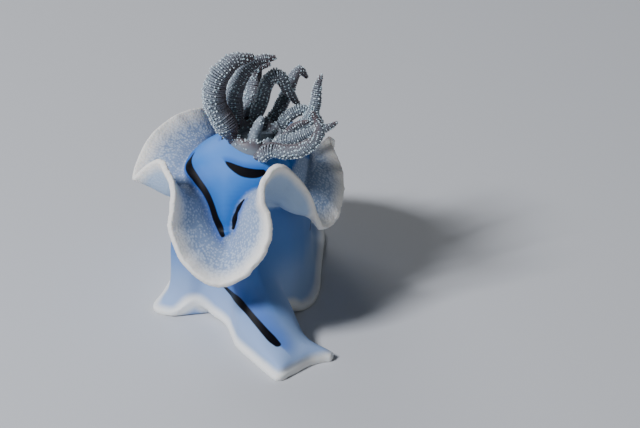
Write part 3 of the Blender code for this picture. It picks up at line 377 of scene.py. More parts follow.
def swept(path, radii, sides):
    """A round stem along a path with a radius at each point, rounded off at both ends."""
    ahead = unit(np.gradient(path, axis=0))
    side = unit(np.cross(ahead, (0.13, 0.21, 0.97)))
    up = np.cross(ahead, side)
    turn = np.linspace(0, 2 * math.pi, sides, endpoint=False)
    circle = np.cos(turn)[None, :, None] * side[:, None] + np.sin(turn)[None, :, None] * up[:, None]
    rings = path[:, None] + circle * np.asarray(radii)[:, None, None]
    ends = [path[k] + way * ahead[k] * radii[k] * END_ROUNDING for k, way in ((0, -1), (-1, 1))]
    return np.vstack([rings.reshape(-1, 3), ends]), tube_faces(len(rings), sides)


def stem_along(points, radii, sides=24, samples=40):
    path = through(points, np.linspace(0, len(points) - 1, samples))
    widths = np.interp(np.linspace(0, 1, samples), np.linspace(0, 1, len(radii)), radii)
    return swept(path, widths, sides)


def lips():
    """A ring of two lips, tipped back to face ahead."""
    turn, tube = (np.linspace(0, 2 * math.pi, count, endpoint=False) for count in LIP_SIDES)
    out = 1 + LIP_THICKNESS / LIP_RADIUS * np.cos(tube)[None, :]
    x = np.cos(turn)[:, None] * LIP_SIZE[0] * out
    y = np.sin(turn)[:, None] * LIP_SIZE[1] * out
    z = np.broadcast_to(LIP_THICKNESS * np.sin(tube)[None, :], x.shape)
    c, s = math.cos(MOUTH_TIP_BACK), math.sin(MOUTH_TIP_BACK)
    points = np.stack([x, y * c - z * s, y * s + z * c], axis=-1) + MOUTH
    return points.reshape(-1, 3), sheet_faces(*LIP_SIDES, True, True).tolist()


# One skin: all these shells are melted into a single surface, so that flank, foot, mantle and head
# run into one another with soft hollows between them, as living flesh does.
VOXEL = 0.14
SOFTENING_ROUNDS = 9
SETTLING_ROUNDS = 2
SETTLING_STRENGTH = 0.4
TUCK_DEPTH = 0.55


def joined(shells):
    points, faces, start = [], [], 0
    for some_points, some_faces in shells:
        points.append(np.asarray(some_points))
        faces += [[corner + start for corner in face] for face in some_faces]
        start += len(some_points)
    return np.vstack(points), faces


def new_mesh(name, points, faces):
    mesh = bpy.data.meshes.new(name)
    mesh.from_pydata(np.asarray(points).tolist(), [], faces)
    return mesh


def surface_tree(points, faces):
    return BVHTree.FromPolygons([Vector(place) for place in points], faces)


def tucked_under(points, cover_points, cover_faces):
    """Lowers what would stand out of the mantle's upper face until it lies inside the mantle."""
    tree = surface_tree(cover_points, cover_faces)
    points = points.copy()
    for k, (x, y, z) in enumerate(points):
        hit = tree.ray_cast(Vector((x, y, z + 0.01)), Vector((0, 0, 1)))[0]
        if hit is None:
            below = tree.ray_cast(Vector((x, y, z)), Vector((0, 0, -1)))[0]
            if below is not None:
                points[k, 2] = below.z - TUCK_DEPTH
    return points


def vertex_values(mesh, name):
    values = np.empty(len(mesh.vertices) * 3)
    mesh.vertices.foreach_get(name, values)
    return values.reshape(-1, 3)


def averaged(values, edges, rounds, strength=0.5, give_back=0.0):
    """Evens out values over a mesh's edges; giving back part of each step keeps thin rims their size."""
    count = len(values)
    values = values.reshape(count, -1).astype(float)
    a, b = edges[:, 0], edges[:, 1]
    degree = np.maximum(np.bincount(np.concatenate([a, b]), minlength=count), 1)[:, None]
    for _ in range(rounds):
        for share in (strength, -give_back):
            if not share:
                continue
            total = np.stack([
                np.bincount(a, values[b, k], count) + np.bincount(b, values[a, k], count)
                for k in range(values.shape[1])
            ], axis=-1)
            values = values + share * (total / degree - values)
    return values


def melted(name, shells):
    """One closed surface round overlapping shells, evened out."""
    points, faces = joined(shells)
    holder = bpy.data.objects.new(name, new_mesh(name, points, faces))
    bpy.context.scene.collection.objects.link(holder)
    remesh = holder.modifiers.new("melt", "REMESH")
    remesh.mode = "VOXEL"
    remesh.voxel_size = VOXEL
    graph = bpy.context.evaluated_depsgraph_get()
    mesh = bpy.data.meshes.new_from_object(holder.evaluated_get(graph))
    holder.modifiers.clear()
    holder.data = mesh
    edges = np.empty(len(mesh.edges) * 2, int)
    mesh.edges.foreach_get("vertices", edges)
    edges = edges.reshape(-1, 2)
    places = averaged(vertex_values(mesh, "co"), edges, SOFTENING_ROUNDS, 0.5, 0.5)
    places = averaged(places, edges, SETTLING_ROUNDS, SETTLING_STRENGTH)
    mesh.vertices.foreach_set("co", places.ravel())
    return holder, places, edges


stations, skirt_upper, skirt_lower = skirt_faces()
cap_upper, cap_lower = cap_faces(CAP_RIBS, np.linspace(-1, 1, CAP_ACROSS), CAP_LAP)
skirt_shell = slab(skirt_upper, skirt_lower, ring=True)
cap_shell = slab(cap_upper, cap_lower)
body_points, body_faces = lofted_body()
body_points = tucked_under(body_points, *joined([skirt_shell, cap_shell]))
shells = [(body_points, body_faces), skirt_shell, cap_shell, stem_along(PAPILLA, PAPILLA_RADII), lips()]
shells += [stem_along(points, TENTACLE_RADII) for points in ORAL_TENTACLES.values()]
skin, skin_points, skin_edges = melted("slug_skin", shells)


def pressed_mouth(points):
    """Presses the mouth's slit into the lips."""
    x, y, z = (points - MOUTH).T
    c, s = math.cos(-MOUTH_TIP_BACK), math.sin(-MOUTH_TIP_BACK)
    flat = np.stack([x, y * c - z * s, y * s + z * c], axis=-1)
    inside = np.clip(1 - np.linalg.norm(flat / SLIT_SIZE, axis=1), 0, 1)
    return points + unit(np.array([INTO_MOUTH])) * (ease(inside * SLIT_STEEPNESS) * SLIT_DEPTH)[:, None]


def drawn_up_sheaths(points):
    """Draws the skin of the back up into a low round wall about each feeler."""
    points = points.copy()
    for x, y, _ in RHINOPHORES.values():
        out = np.hypot(points[:, 0] - x, points[:, 1] - y)
        near = np.flatnonzero(out < SHEATH_RADIUS + 4 * SHEATH_WALL)
        for k in near[points[near, 2] > back_height(x, y) - MANTLE_DEPTH]:
            points[k, 2] += SHEATH_HEIGHT * math.exp(-((out[k] - SHEATH_RADIUS) / SHEATH_WALL) ** 2)
    return points


skin_points = drawn_up_sheaths(pressed_mouth(skin_points))
skin.data.vertices.foreach_set("co", skin_points.ravel())
skin.data.update()

# The skin's pattern: every point of it knows how far it lies from the mantle's margin and crease,
# from the foot's margin, and from the black lines that run along the back, the tail and the flanks.
CAMERA_ELEVATION = math.radians(26.0)
CAMERA_DISTANCE = 278.0
CAMERA_AIM = np.array([8.0, 5.0, 10.5])
PHOTO_SIZE = (640, 428)
PIXELS_PER_SLOPE = 2780.0
AHEAD = np.array([0.0, math.cos(CAMERA_ELEVATION), -math.sin(CAMERA_ELEVATION)])
UPWARD = np.array([0.0, math.sin(CAMERA_ELEVATION), math.cos(CAMERA_ELEVATION)])
CAMERA_PLACE = CAMERA_AIM - AHEAD * CAMERA_DISTANCE
MM_PER_PIXEL = 0.1
FAR_MM = 9.0
SEAM_MM = 0.6
GREY_OVER_CREASE = 2.3
GREY_STATIONS = (18.6, 20.2, 23.4, 24.4)
MOST_SLANT = 1.6
LINE_STEPS = 5
SKY_MM = 60.0
FOOT_MARGIN_STEPS = 16
PAPILLA_STEPS = 30

# Black lines, broken here and there, each with the side on which the blue next to it is deepest and
# how many mm that blue reaches. Its points are x, y and half the width: in pixels where the
# photograph shows it, on the skin or on the trunk under the mantle, and elsewhere in mm, dropped on
# the back from above or, as y and z, cast level on a flank from its side.
LINES = {
    "left edge of the back": (-1, 1.0, [("skin seen", [
        (222.6, 235, 2.4), (219.8, 227, 3.4), (215.6, 217.8, 3.2), (212.2, 207, 3.0), (208.6, 198, 3.1),
        (204.2, 190, 3.3), (199.4, 183.5, 3.5), (194, 176, 3.8), (189.8, 170, 3.8), (188.4, 164, 3.0),
        (190.8, 158.5, 2.0), (194.5, 152.5, 0.6),
    ])]),
    "left edge, beside the gills and on to the head": (-1, 0.5, [
        ("skin seen", [(222.3, 139.5, 0.8), (223.2, 136.5, 1.5), (224.6, 133, 1.5)]),
        ("from above", [
            (-1.7, 10.8, 0.2), (-1.6, 12.4, 0.24), (-1.0, 14.8, 0.2), (-0.4, 16.5, 0.26), (-0.15, 18.0, 0.2),
            (0.2, 19.5, 0.24), (1.1, 20.75, 0.26), (2.2, 21.4, 0.2), (3.2, 21.6, 0.24),
        ]),
    ]),
    "right edge of the back": (1, 0.9, [("skin seen", [
        (233.6, 227.5, 2.0), (235.2, 219.5, 3.2), (237.0, 212.5, 2.1), (239.4, 207, 2.4), (244, 199.7, 0.8),
    ])]),
    "right edge, under the fold and on to the head": (1, 0.9, [("from above", [
        (5.3, 8.2, 0.1), (5.8, 9.4, 0.26), (6.2, 11.2, 0.2), (6.3, 14.0, 0.28), (6.2, 16.4, 0.2),
        (5.95, 18.4, 0.26), (5.5, 19.8, 0.22), (4.9, 20.8, 0.26), (4.1, 21.4, 0.2), (3.2, 21.6, 0.24),
    ])]),
    "middle of the back": (-1, 0.8, [("skin seen", [
        (225.2, 161.4, 0.5), (229.8, 164.8, 2.6), (236, 168.6, 4.0), (243, 171.8, 4.9), (250.5, 173.3, 4.9),
        (257, 173.5, 4.4), (263, 172.5, 3.2),
    ])]),
    "middle of the back, ahead of the gills": (0, 1.0, [("from above", [
        (1.75, 10.4, 0.12), (1.5, 11.5, 0.28), (1.95, 12.6, 0.2), (2.4, 13.8, 0.3), (2.15, 15.2, 0.2),
        (2.6, 16.6, 0.3), (2.75, 17.6, 0.2), (3.1, 18.4, 0.1),
    ])]),
    "tail": (-1, 2.2, [("trunk seen", [
        (220.5, 282.5, 0.7), (224, 286, 2.2), (230, 292.3, 2.9), (238, 300.6, 3.0),
        (246, 309.4, 3.2), (255, 320, 3.4), (265, 331.5, 3.8), (272, 339, 4.0), (277.5, 344.3, 3.0),
    ])]),
}
FLANK_LINE = [
    (8.6, 6.7, 0.1), (9.6, 6.3, 0.2), (11.2, 6.1, 0.26), (12.8, 6.2, 0.16), (14.4, 5.6, 0.26),
    (16.2, 5.2, 0.22), (17.6, 5.2, 0.14), (19.4, 4.5, 0.24), (21.0, 4.1, 0.18), (22.2, 3.4, 0.1),
]
LINES["left flank"] = (0, 1.0, [("from the left", FLANK_LINE)])
LINES["right flank"] = (0, 1.0, [("from the right", [(10.4, 6.0, 0.1), *FLANK_LINE[2:]])])

skin_tree = surface_tree(skin_points, [tuple(face.vertices) for face in skin.data.polygons])


def seen_at(tree, px, py):
    """The place that the photograph shows at a pixel, or would show there without what hides it."""
    across = (px - PHOTO_SIZE[0] / 2) / PIXELS_PER_SLOPE
    down = (py - PHOTO_SIZE[1] / 2) / PIXELS_PER_SLOPE
    way = AHEAD + np.array([across, 0.0, 0.0]) - UPWARD * down
    hit = tree.ray_cast(Vector(CAMERA_PLACE), Vector(way))[0]
    return None if hit is None else np.array(skin_tree.find_nearest(hit)[0])


def seen_line(tree, points):
    """Places of a line through pixels, each with the half-width that it has on the slanting skin."""
    points = np.array(points, float)
    along = unit(np.gradient(points[:, :2], axis=0))
    square = np.stack([-along[:, 1], along[:, 0]], axis=-1)
    line = []
    for (px, py, half), (sx, sy) in zip(points, square):
        place = seen_at(tree, px, py)
        edges = [seen_at(tree, px + sx * half * way, py + sy * half * way) for way in (-1, 1)]
        widths = [np.linalg.norm(edge - place) for edge in edges if edge is not None]
        widths = [width for width in widths if width < MOST_SLANT * half * MM_PER_PIXEL]
        line.append((*place, np.mean(widths) if widths else half * MM_PER_PIXEL))
    return line


def cast_line(way, points):
    """Places of a line cast straight on the skin, along x or down z, from far outside."""
    line = []
    for first, second, half in points:
        start = (first, second, SKY_MM) if way[2] else (-way[0] * SKY_MM, first, second)
        line.append((*skin_tree.ray_cast(start, way)[0], half))
    return line


def black_lines():
    seen = {"skin seen": skin_tree, "trunk seen": surface_tree(body_points, body_faces)}
    ways = {"from above": (0, 0, -1), "from the left": (1, 0, 0), "from the right": (-1, 0, 0)}
    lines = []
    for side, reach, stretches in LINES.values():
        line = []
        for how, points in stretches:
            line += seen_line(seen[how], points) if how in seen else cast_line(ways[how], points)
        places = np.linspace(0, len(line) - 1, len(line) * LINE_STEPS)
        lines.append((side, reach, through(line, places)))
    return lines


def line_fields(points, normals):
    """Mm from the edge of the nearest black line, and the share of the way out over its deep blue."""
    edge = np.full(len(points), FAR_MM)
    deep = np.full(len(points), FAR_MM)
    for side, reach, line in black_lines():
        near = np.linalg.norm(points - line[:, :3].mean(axis=0), axis=1)
        span = np.linalg.norm(line[:, :3] - line[:, :3].mean(axis=0), axis=1).max()
        rows = np.flatnonzero(near < span + reach + 1.0)
        for a, b in zip(line, line[1:]):
            run = b[:3] - a[:3]
            away = points[rows] - a[:3]
            share = np.clip(away @ run / max(run @ run, 1e-9), 0, 1)
            offset = away - share[:, None] * run
            distance = np.linalg.norm(offset, axis=1) - (a[3] + (b[3] - a[3]) * share)
            edge[rows] = np.minimum(edge[rows], distance)
            if side:
                turned = np.einsum("ij,ij->i", np.cross(offset, run), normals[rows]) * side
                deep[rows] = np.where(turned > 0, np.minimum(deep[rows], distance / reach), deep[rows])
    return edge, deep


def surface_distance(points, shell):
    tree = surface_tree(*shell)
    return np.array([tree.find_nearest(Vector(place))[3] for place in points])


def point_tree(places):
    tree = KDTree(len(places))
    for k, place in enumerate(places):
        tree.insert(place, k)
    tree.balance()
    return tree


def mantle_zones(points):
    """For each skin point: mm out from the crease and in from the margin, the share that faces down,
    and the share that is trunk or foot and not mantle.

    On the right the skirt's grey runs in over the crease, so the crease counts as lying further in.
    """
    run = np.concatenate([
        np.zeros((len(stations), 1)),
        np.cumsum(np.linalg.norm(np.diff(skirt_upper, axis=1), axis=2), axis=1),
    ], axis=1)
    over = GREY_OVER_CREASE * np.interp(stations, GREY_STATIONS, (0, 1, 1, 0))
    crease_tree = point_tree(skirt_upper[:, 0])
    cap = cap_upper.reshape(-1, 3)
    outward, inward = (run + over[:, None]).ravel(), (run[:, -1:] - run).ravel()
    over_cap = np.array([over[k] - away for _, k, away in (crease_tree.find(place) for place in cap)])
    samples = [
        (skirt_upper.reshape(-1, 3), outward, inward, 0.0),
        (skirt_lower.reshape(-1, 3), outward, inward, 1.0),
        (cap, over_cap, np.full(len(cap), FAR_MM), 0.0),
    ]
    table = np.vstack([
        np.column_stack([place, out, back, np.full(len(place), down)]) for place, out, back, down in samples
    ])
    tree = point_tree(table[:, :3])
    zones = table[[tree.find(place)[1] for place in points], 3:]
    mantle = surface_distance(points, joined([skirt_shell, cap_shell]))
    trunk = surface_distance(points, (body_points, body_faces))
    return zones, ease((mantle - trunk) / SEAM_MM + 0.5)


def foot_distance(points):
    margins = body_stations(FOOT_MARGIN_STEPS)
    tree = point_tree(np.vstack([margins[:, 0:3], margins[:, 3:6]]) + np.array([0.0, 0.0, FOOT_EDGE / 2]))
    return np.array([tree.find(place)[2] for place in points])


def write_field(obj, name, values):
    field = obj.data.attributes.new(name, "FLOAT", "POINT")
    field.data.foreach_set("value", np.asarray(values, np.float32).ravel())


zones, trunk_share = mantle_zones(skin_points)
zones = averaged(zones, skin_edges, 3)
line_edge, line_deep = line_fields(skin_points, vertex_values(skin.data, "normal"))
write_field(skin, "crease_mm", zones[:, 0])
write_field(skin, "margin_mm", zones[:, 1])
write_field(skin, "underside", averaged(zones[:, 2], skin_edges, 3)[:, 0])
write_field(skin, "trunk_share", averaged(trunk_share, skin_edges, 3)[:, 0])
write_field(skin, "line_mm", line_edge)
write_field(skin, "deep_share", averaged(line_deep, skin_edges, 3)[:, 0])
write_field(skin, "foot_mm", foot_distance(skin_points))
papilla_line = through(PAPILLA, np.linspace(0, len(PAPILLA) - 1, PAPILLA_STEPS))
from_papilla = np.linalg.norm(skin_points[:, None] - papilla_line[None], axis=2).min(axis=1)
from_vent = np.linalg.norm(skin_points - VENT, axis=1) - VENT_REACH
write_field(skin, "vent_mm", np.minimum(from_papilla - PAPILLA_RADII[0], from_vent))


def to_frame(obj):
    """From millimetres at the foot's corner to metres at the middle of the sole."""
    mesh = obj.data
    points = (vertex_values(mesh, "co") - SOLE_CENTRE) * METRE
    mesh.vertices.foreach_set("co", points.ravel())
    mesh.update()
    mesh.shade_smooth()


to_frame(skin)

# Living nudibranch skin, bare and wet: a soft even gloss over flesh that light sinks a little into.
# The back is clear blue, deepest along the crease and palest on the hump's top: partly the animal's own
# blue, partly painted shade in the hollow at the crease and painted light on the top. The skirt is dusted
# with opaque white grains that close up to a solid white rim, and the foot fades from blue to a white
# margin.
# Blues of the back. The deep one is partly the animal's blue and partly painted shade in the hollow at the
# crease. The light one is partly painted light on the hump's top.
BACK_PALE_AND_HUMP_LIGHT = "#5C95E2"
BACK_MIDDLE = "#4283D4"
BACK_DEEP_AND_CREASE_SHADE = "#2566B8"
LINE_BLUE = "#1458B8"
LINE_BLACK = "#04030A"
SKIRT_GROUND = "#7E93B8"
SKIRT_PALE = "#98ACC8"
SKIRT_GRAIN = "#C2D0E2"
RIM_WHITE = "#F6F3EC"
UNDER_GREY = "#B0C6E0"
FLANK_PALE = "#96B0D8"
FLANK_BLUE = "#557FBC"
FOOT_WHITE = "#F0F1EE"
VENT_GREY = "#7F8994"
VENT_GRAIN = "#BCCAD2"
GRAIN_MM = 0.27
FINE_MM = 0.12
CLOUD_MM = 3.5
GRAIN_HEIGHT_MM = 0.035
# How far in from the crease the back's painted shade fades out into its paler, painted-light blue.
CREASE_SHADE_MM = 3.6
CLOUD_ON_BACK = 0.3
RAGGED_MM = 0.7
GRAIN_COVER = 0.85
VENT_GRAIN_COVER = 0.7
FINE_RELIEF = 0.1

# Where each coat of colour starts to show and where it is full: mm from the crease, the margins, the
# vent or a line, or a share.
TO_MIDDLE_BLUE, TO_LIGHT_BLUE = (0.1, 0.7), (0.6, 1.25)
SKIRT_AT, RIM_AT, RIM_BELOW_AT = (-0.6, 0.1), (2.6, 0.5), (1.6, 0.2)
FLANK_BLUE_AT, FOOT_RIM_AT = (1.4, 7.0), (1.2, 0.3)
VENT_AT, LINE_BLUE_AT, LINE_AT = (0.45, -0.1), (1.0, 0.0), (0.06, -0.06)
LINE_BLUE_STRENGTH = 0.65
GRAINS_CROWD = {"From Min": 4.5, "From Max": 0.6, "To Min": -0.06, "To Max": 0.24}
GRAIN_EDGE = {"From Min": 0.6, "From Max": 0.12}
GRAIN_FADE = {"From Min": 0.2, "From Max": 0.5, "To Min": 0.7}
SMOOTH = {"interpolation_type": "SMOOTHSTEP"}
IN_COLOUR = {"data_type": "RGBA", "clamp_factor": True}
SKIN_FIELDS = (
    "crease_mm", "margin_mm", "foot_mm", "underside", "trunk_share", "line_mm", "deep_share", "vent_mm",
)


def linear(hex_colour):
    """An sRGB hex colour as linear red, green, blue and alpha."""
    parts = [int(hex_colour[k:k + 2], 16) / 255 for k in (1, 3, 5)]
    return (*(p / 12.92 if p <= 0.04045 else ((p + 0.055) / 1.055) ** 2.4 for p in parts), 1.0)


def add(tree, kind, inputs=None, out=0, **settings):
    """Adds a shader node with its settings and links, and gives one of its outputs.

    An input is a number, a colour or another node's output.
    """
    node = tree.nodes.new("ShaderNode" + kind)
    for name, value in settings.items():
        setattr(node, name, value)
    for key, value in (inputs or {}).items():
        socket = node.inputs[key]
        if isinstance(value, bpy.types.NodeSocket):
            tree.links.new(value, socket)
        else:
            socket.default_value = linear(value) if isinstance(value, str) else value
    return node.outputs[out] if len(node.outputs) else None


def new_material(name):
    made = bpy.data.materials.new(name)
    made.use_nodes = True
    made.node_tree.nodes.clear()
    return made, made.node_tree


def finish_material(tree, inputs):
    add(tree, "OutputMaterial", {"Surface": add(tree, "BsdfPrincipled", inputs)})


def coated(tree, colour, coats):
    """A ground colour under coats of others: each comes in as its field passes from start to full."""
    for field, (start, full), strength, coat in coats:
        reach = {"Value": field, "From Min": start, "From Max": full, "To Max": strength}
        share = add(tree, "MapRange", reach, **SMOOTH)
        colour = add(tree, "Mix", {0: share, 6: colour, 7: coat}, 2, **IN_COLOUR)
    return colour


def skin_material():
    made, tree = new_material("wet nudibranch skin")
    crease, margin, foot, under, trunk, line, deep, vent = (
        add(tree, "Attribute", out="Fac", attribute_name=name) for name in SKIN_FIELDS
    )
    place = add(tree, "TexCoord", out="Object")
    grain = add(tree, "TexVoronoi", {"Vector": place, "Scale": 1 / (GRAIN_MM * METRE)}, "Distance")
    fine = add(tree, "TexNoise", {"Vector": place, "Scale": 1 / (FINE_MM * METRE), "Detail": 3.0})
    cloud = add(tree, "TexNoise", {"Vector": place, "Scale": 1 / (CLOUD_MM * METRE), "Detail": 2.0})
    crowding = add(tree, "MapRange", {"Value": margin, **GRAINS_CROWD}, **SMOOTH)
    gap = add(tree, "Math", {0: grain, 1: crowding}, operation="SUBTRACT")
    grains = add(tree, "Math", {
        0: add(tree, "MapRange", {"Value": gap, **GRAIN_EDGE}, **SMOOTH),
        1: add(tree, "MapRange", {"Value": fine, **GRAIN_FADE}, **SMOOTH),
    }, operation="MULTIPLY")

    # Painted shade and light: the back's blue is deepest at the crease and pales in towards the hump's top.
    # A faint cloud of the animal's own tone lies over it.
    inward = add(tree, "MapRange", {
        "Value": crease, "From Min": 0.0, "From Max": -CREASE_SHADE_MM,
    }, **SMOOTH)
    inner = add(tree, "Math", {0: cloud, 1: CLOUD_ON_BACK, 2: inward}, operation="MULTIPLY_ADD")
    ragged = add(tree, "Math", {0: fine, 1: RAGGED_MM, 2: margin}, operation="MULTIPLY_ADD")
    cover, vent_cover = (
        add(tree, "Math", {0: grains, 1: part}, operation="MULTIPLY")
        for part in (GRAIN_COVER, VENT_GRAIN_COVER)
    )
    ground = add(tree, "Mix", {0: cloud, 6: SKIRT_GROUND, 7: SKIRT_PALE}, 2, **IN_COLOUR)
    skirt_colour = add(tree, "Mix", {0: cover, 6: ground, 7: SKIRT_GRAIN}, 2, **IN_COLOUR)
    vent_colour = add(tree, "Mix", {0: vent_cover, 6: VENT_GREY, 7: VENT_GRAIN}, 2, **IN_COLOUR)
    # The back: painted shade deep at the crease, painted light pale on the hump, then the skirt, its grains
    # and its white rim.
    above = coated(tree, BACK_DEEP_AND_CREASE_SHADE, [
        (inner, TO_MIDDLE_BLUE, 1.0, BACK_MIDDLE), (inner, TO_LIGHT_BLUE, 1.0, BACK_PALE_AND_HUMP_LIGHT),
        (crease, SKIRT_AT, 1.0, skirt_colour), (ragged, RIM_AT, 1.0, RIM_WHITE),
    ])
    below = coated(tree, UNDER_GREY, [(margin, RIM_BELOW_AT, 1.0, RIM_WHITE)])
    flank = coated(tree, FLANK_PALE, [
        (foot, FLANK_BLUE_AT, 1.0, FLANK_BLUE), (foot, FOOT_RIM_AT, 1.0, FOOT_WHITE),
    ])
    mantle = add(tree, "Mix", {0: under, 6: above, 7: below}, 2, **IN_COLOUR)
    body = add(tree, "Mix", {0: trunk, 6: mantle, 7: flank}, 2, **IN_COLOUR)
    colour = coated(tree, body, [
        (vent, VENT_AT, 1.0, vent_colour), (deep, LINE_BLUE_AT, LINE_BLUE_STRENGTH, LINE_BLUE),
        (line, LINE_AT, 1.0, LINE_BLACK),
    ])

    on_skirt = add(tree, "MapRange", {
        "Value": crease, "From Min": SKIRT_AT[0], "From Max": SKIRT_AT[1],
    }, **SMOOTH)
    off_trunk = add(tree, "MapRange", {"Value": trunk, "From Min": 0.5, "From Max": 0.0}, **SMOOTH)
    skirt_share = add(tree, "Math", {0: on_skirt, 1: off_trunk}, operation="MULTIPLY")
    raised = add(tree, "Math", {0: grains, 1: skirt_share}, operation="MULTIPLY")
    relief = add(tree, "Math", {0: fine, 1: FINE_RELIEF, 2: raised}, operation="MULTIPLY_ADD")
    bump = add(tree, "Bump", {
        "Height": relief, "Strength": 0.6, "Distance": GRAIN_HEIGHT_MM * METRE,
    })
    finish_material(tree, {
        "Base Color": colour, "Roughness": 0.5, "Normal": bump, "IOR": 1.38, "Specular IOR Level": 0.22,
        "Subsurface Weight": 0.25, "Subsurface Radius": (0.7, 0.85, 1.0), "Subsurface Scale": 0.6 * METRE,
    })
    return made


skin.data.materials.clear()
skin.data.materials.append(skin_material())
FLESH_NODES = [
    "tail", "head", "mantle_rear_lobe", "mantle_left_fold", "mantle_left_front_lobe", "mantle_front_left",
    "mantle_front", "mantle_front_right", "mantle_right_side_lobe", "mantle_right_fold", "anal_papilla",
]
for part in ("trunk", "foot", "back"):
    FLESH_NODES += [f"{part}_rear", f"{part}_middle", f"{part}_front"]
for part in ("oral_tentacle", "rhinophore_sheath"):
    FLESH_NODES += [f"{part}_left", f"{part}_right"]
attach(skin, "root")
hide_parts(*FLESH_NODES)

# Ten gill leaves stand in a ring round the vent. Each is a stem of clear brown flesh with thin plates
# stacked square to it down both sides, bare only on its inner face. Opaque white beads, which are
# glands of the skin, stud the edges of the plates in rows.
GILL_CENTRE = (1.75, 6.1)
GILL_RING = 2.5
GILL_LEAVES = [
    [(-0.5, 5.1, 18.4), (-1.0, 4.8, 20.2), (-2.0, 4.6, 21.7), (-2.4, 4.4, 23.0), (-2.4, 4.3, 24.3),
     (-2.1, 4.4, 25.5), (-1.4, 4.8, 26.5), (-0.5, 5.4, 27.2), (1.4, 6.4, 27.5)],
    [(-0.5, 6.8, 18.3), (-0.3, 7.0, 20.2), (-0.5, 7.2, 21.8), (-0.3, 7.3, 23.2), (0.3, 7.4, 24.6),
     (1.1, 7.6, 25.6), (2.1, 7.8, 26.2), (3.5, 8.0, 26.5)],
    [(0.0, 8.1, 17.9), (0.2, 9.4, 19.2), (0.7, 10.4, 20.4), (1.0, 11.1, 21.6), (1.0, 11.6, 22.9),
     (1.3, 11.6, 24.1), (2.6, 11.2, 24.8)],
    [(1.4, 8.6, 17.7), (1.6, 8.8, 19.6), (2.0, 8.8, 21.3), (2.3, 8.7, 22.6), (2.8, 8.6, 23.7),
     (3.6, 8.6, 24.3), (4.4, 8.8, 23.8), (5.0, 9.1, 22.5), (5.7, 9.5, 21.4), (6.3, 9.8, 20.5)],
    [(2.8, 8.4, 17.3), (3.3, 9.6, 18.7), (4.1, 10.4, 20.1), (4.8, 11.2, 21.5), (5.3, 11.9, 22.6),
     (6.0, 12.4, 23.2), (6.9, 12.8, 22.2)],
    [(3.8, 7.5, 16.8), (4.1, 7.9, 19.1), (4.9, 8.0, 20.1), (6.0, 8.1, 20.7), (7.2, 8.2, 20.3),
     (8.2, 8.3, 19.2), (8.7, 8.2, 17.8)],
    [(4.3, 6.3, 16.6), (5.7, 6.5, 18.9), (6.9, 6.5, 20.2), (7.5, 6.5, 21.8), (7.7, 6.7, 23.5),
     (8.1, 7.1, 24.7)],
    [(4.1, 4.9, 16.8), (5.1, 4.9, 19.3), (6.0, 4.8, 20.1), (7.1, 4.7, 20.5)],
    [(3.0, 3.9, 17.1), (4.2, 3.3, 19.0), (5.3, 2.8, 19.5), (6.5, 2.5, 20.1), (7.7, 2.5, 20.7),
     (8.8, 2.6, 20.9), (9.7, 2.8, 21.3)],
    [(1.6, 3.6, 17.3), (3.0, 1.9, 18.5), (4.3, 1.0, 18.6), (5.8, 0.3, 19.0), (6.9, -0.1, 19.6),
     (7.9, -0.2, 20.4), (8.5, -0.1, 21.4), (8.6, 0.4, 22.4), (8.1, 1.0, 23.7)],
]
# For each leaf: how far its plates reach on its outer face, half its width, how far its stem lies
# inside the line above, how thick the stem is, and the direction that its side faces.
LEAF_FORMS = [
    (2.0, 0.85, 0.8, 1.15, (0.25, -1.0, 0.0)),
    (1.45, 0.8, 0.45, 0.9, (0.0, -1.0, 0.0)),
    (1.4, 0.75, 0.85, 0.9, (-0.4, -0.9, 0.0)),
    (1.15, 0.7, 0.6, 0.8, (-0.15, -1.0, 0.0)),
    (1.1, 0.65, 0.4, 0.8, (-0.3, -1.0, 0.0)),
    (0.95, 0.6, 0.45, 0.7, (0.0, -1.0, 0.2)),
    (0.85, 0.68, 0.2, 0.7, (1.0, -0.3, 0.0)),
    (0.75, 0.5, 0.45, 0.7, (0.1, 1.0, 0.2)),
    (0.8, 0.72, 0.3, 0.7, (0.0, 0.35, -1.0)),
    (1.2, 0.65, 0.95, 0.9, (0.0, 1.0, -0.3)),
]
STEM_RADII = (0.5, 0.4, 0.34, 0.26, 0.15)
PATH_PLACES = 240
LEAF_PLACES = 400
STEM_SIDES = 12
PLATE_PITCH = 0.21
PLATE_START = 0.5
PLATE_THICKNESS = 0.19
PLATE_TURNS = np.radians([-2, 5, 13, 25, 42, 62, 82, 102, 120, 134])
PLATE_LEAN = 0.22
PLATE_ROUNDING = np.array([
    (0.0, -1.0), (0.6, -1.0), (0.95, -0.9), (1.0, 0.0), (0.95, 0.9), (0.6, 1.0), (0.0, 1.0),
])
PLATE_ROOT = 0.7
PLATE_LEAST = 1.1
PLATE_SIZES = (0.95, 1.04)
SWELL_ALONG = (0.28, 0.7)
SWELL_AT_ROOT = 0.35
ROOT_LENGTH = 2.0
NOTCH_DEPTH = 0.1
NOTCH_TURN = 0.22
INNER_DRAW_IN = 0.3
BEAD_ROWS = np.array([0.1, 0.49, 0.88, 1.27, 1.66])
BEAD_LIMIT = math.radians(128)
BEAD_RADIUS = 0.09
BEAD_RINGS = 5
BEAD_SIDES = 8
BEAD_CHANCES = (0.93, 0.2)
BEAD_SIZES = (0.75, 1.1)
BEAD_SHIFT = 0.06
LARGE_BEAD = 1.3
LARGE_BEAD_CHANCE = 0.12
TIP_BEAD = 1.2
GILL_SEED = 5
GILL_BROWN = "#5C5256"
GILL_GREY = "#7C858F"
FLESH_CLOUD_MM = 0.8
BEAD_BLUE = "#9DBCCA"
BEAD_WHITE = "#E2F1F6"
BEAD_SPOT_MM = 0.3


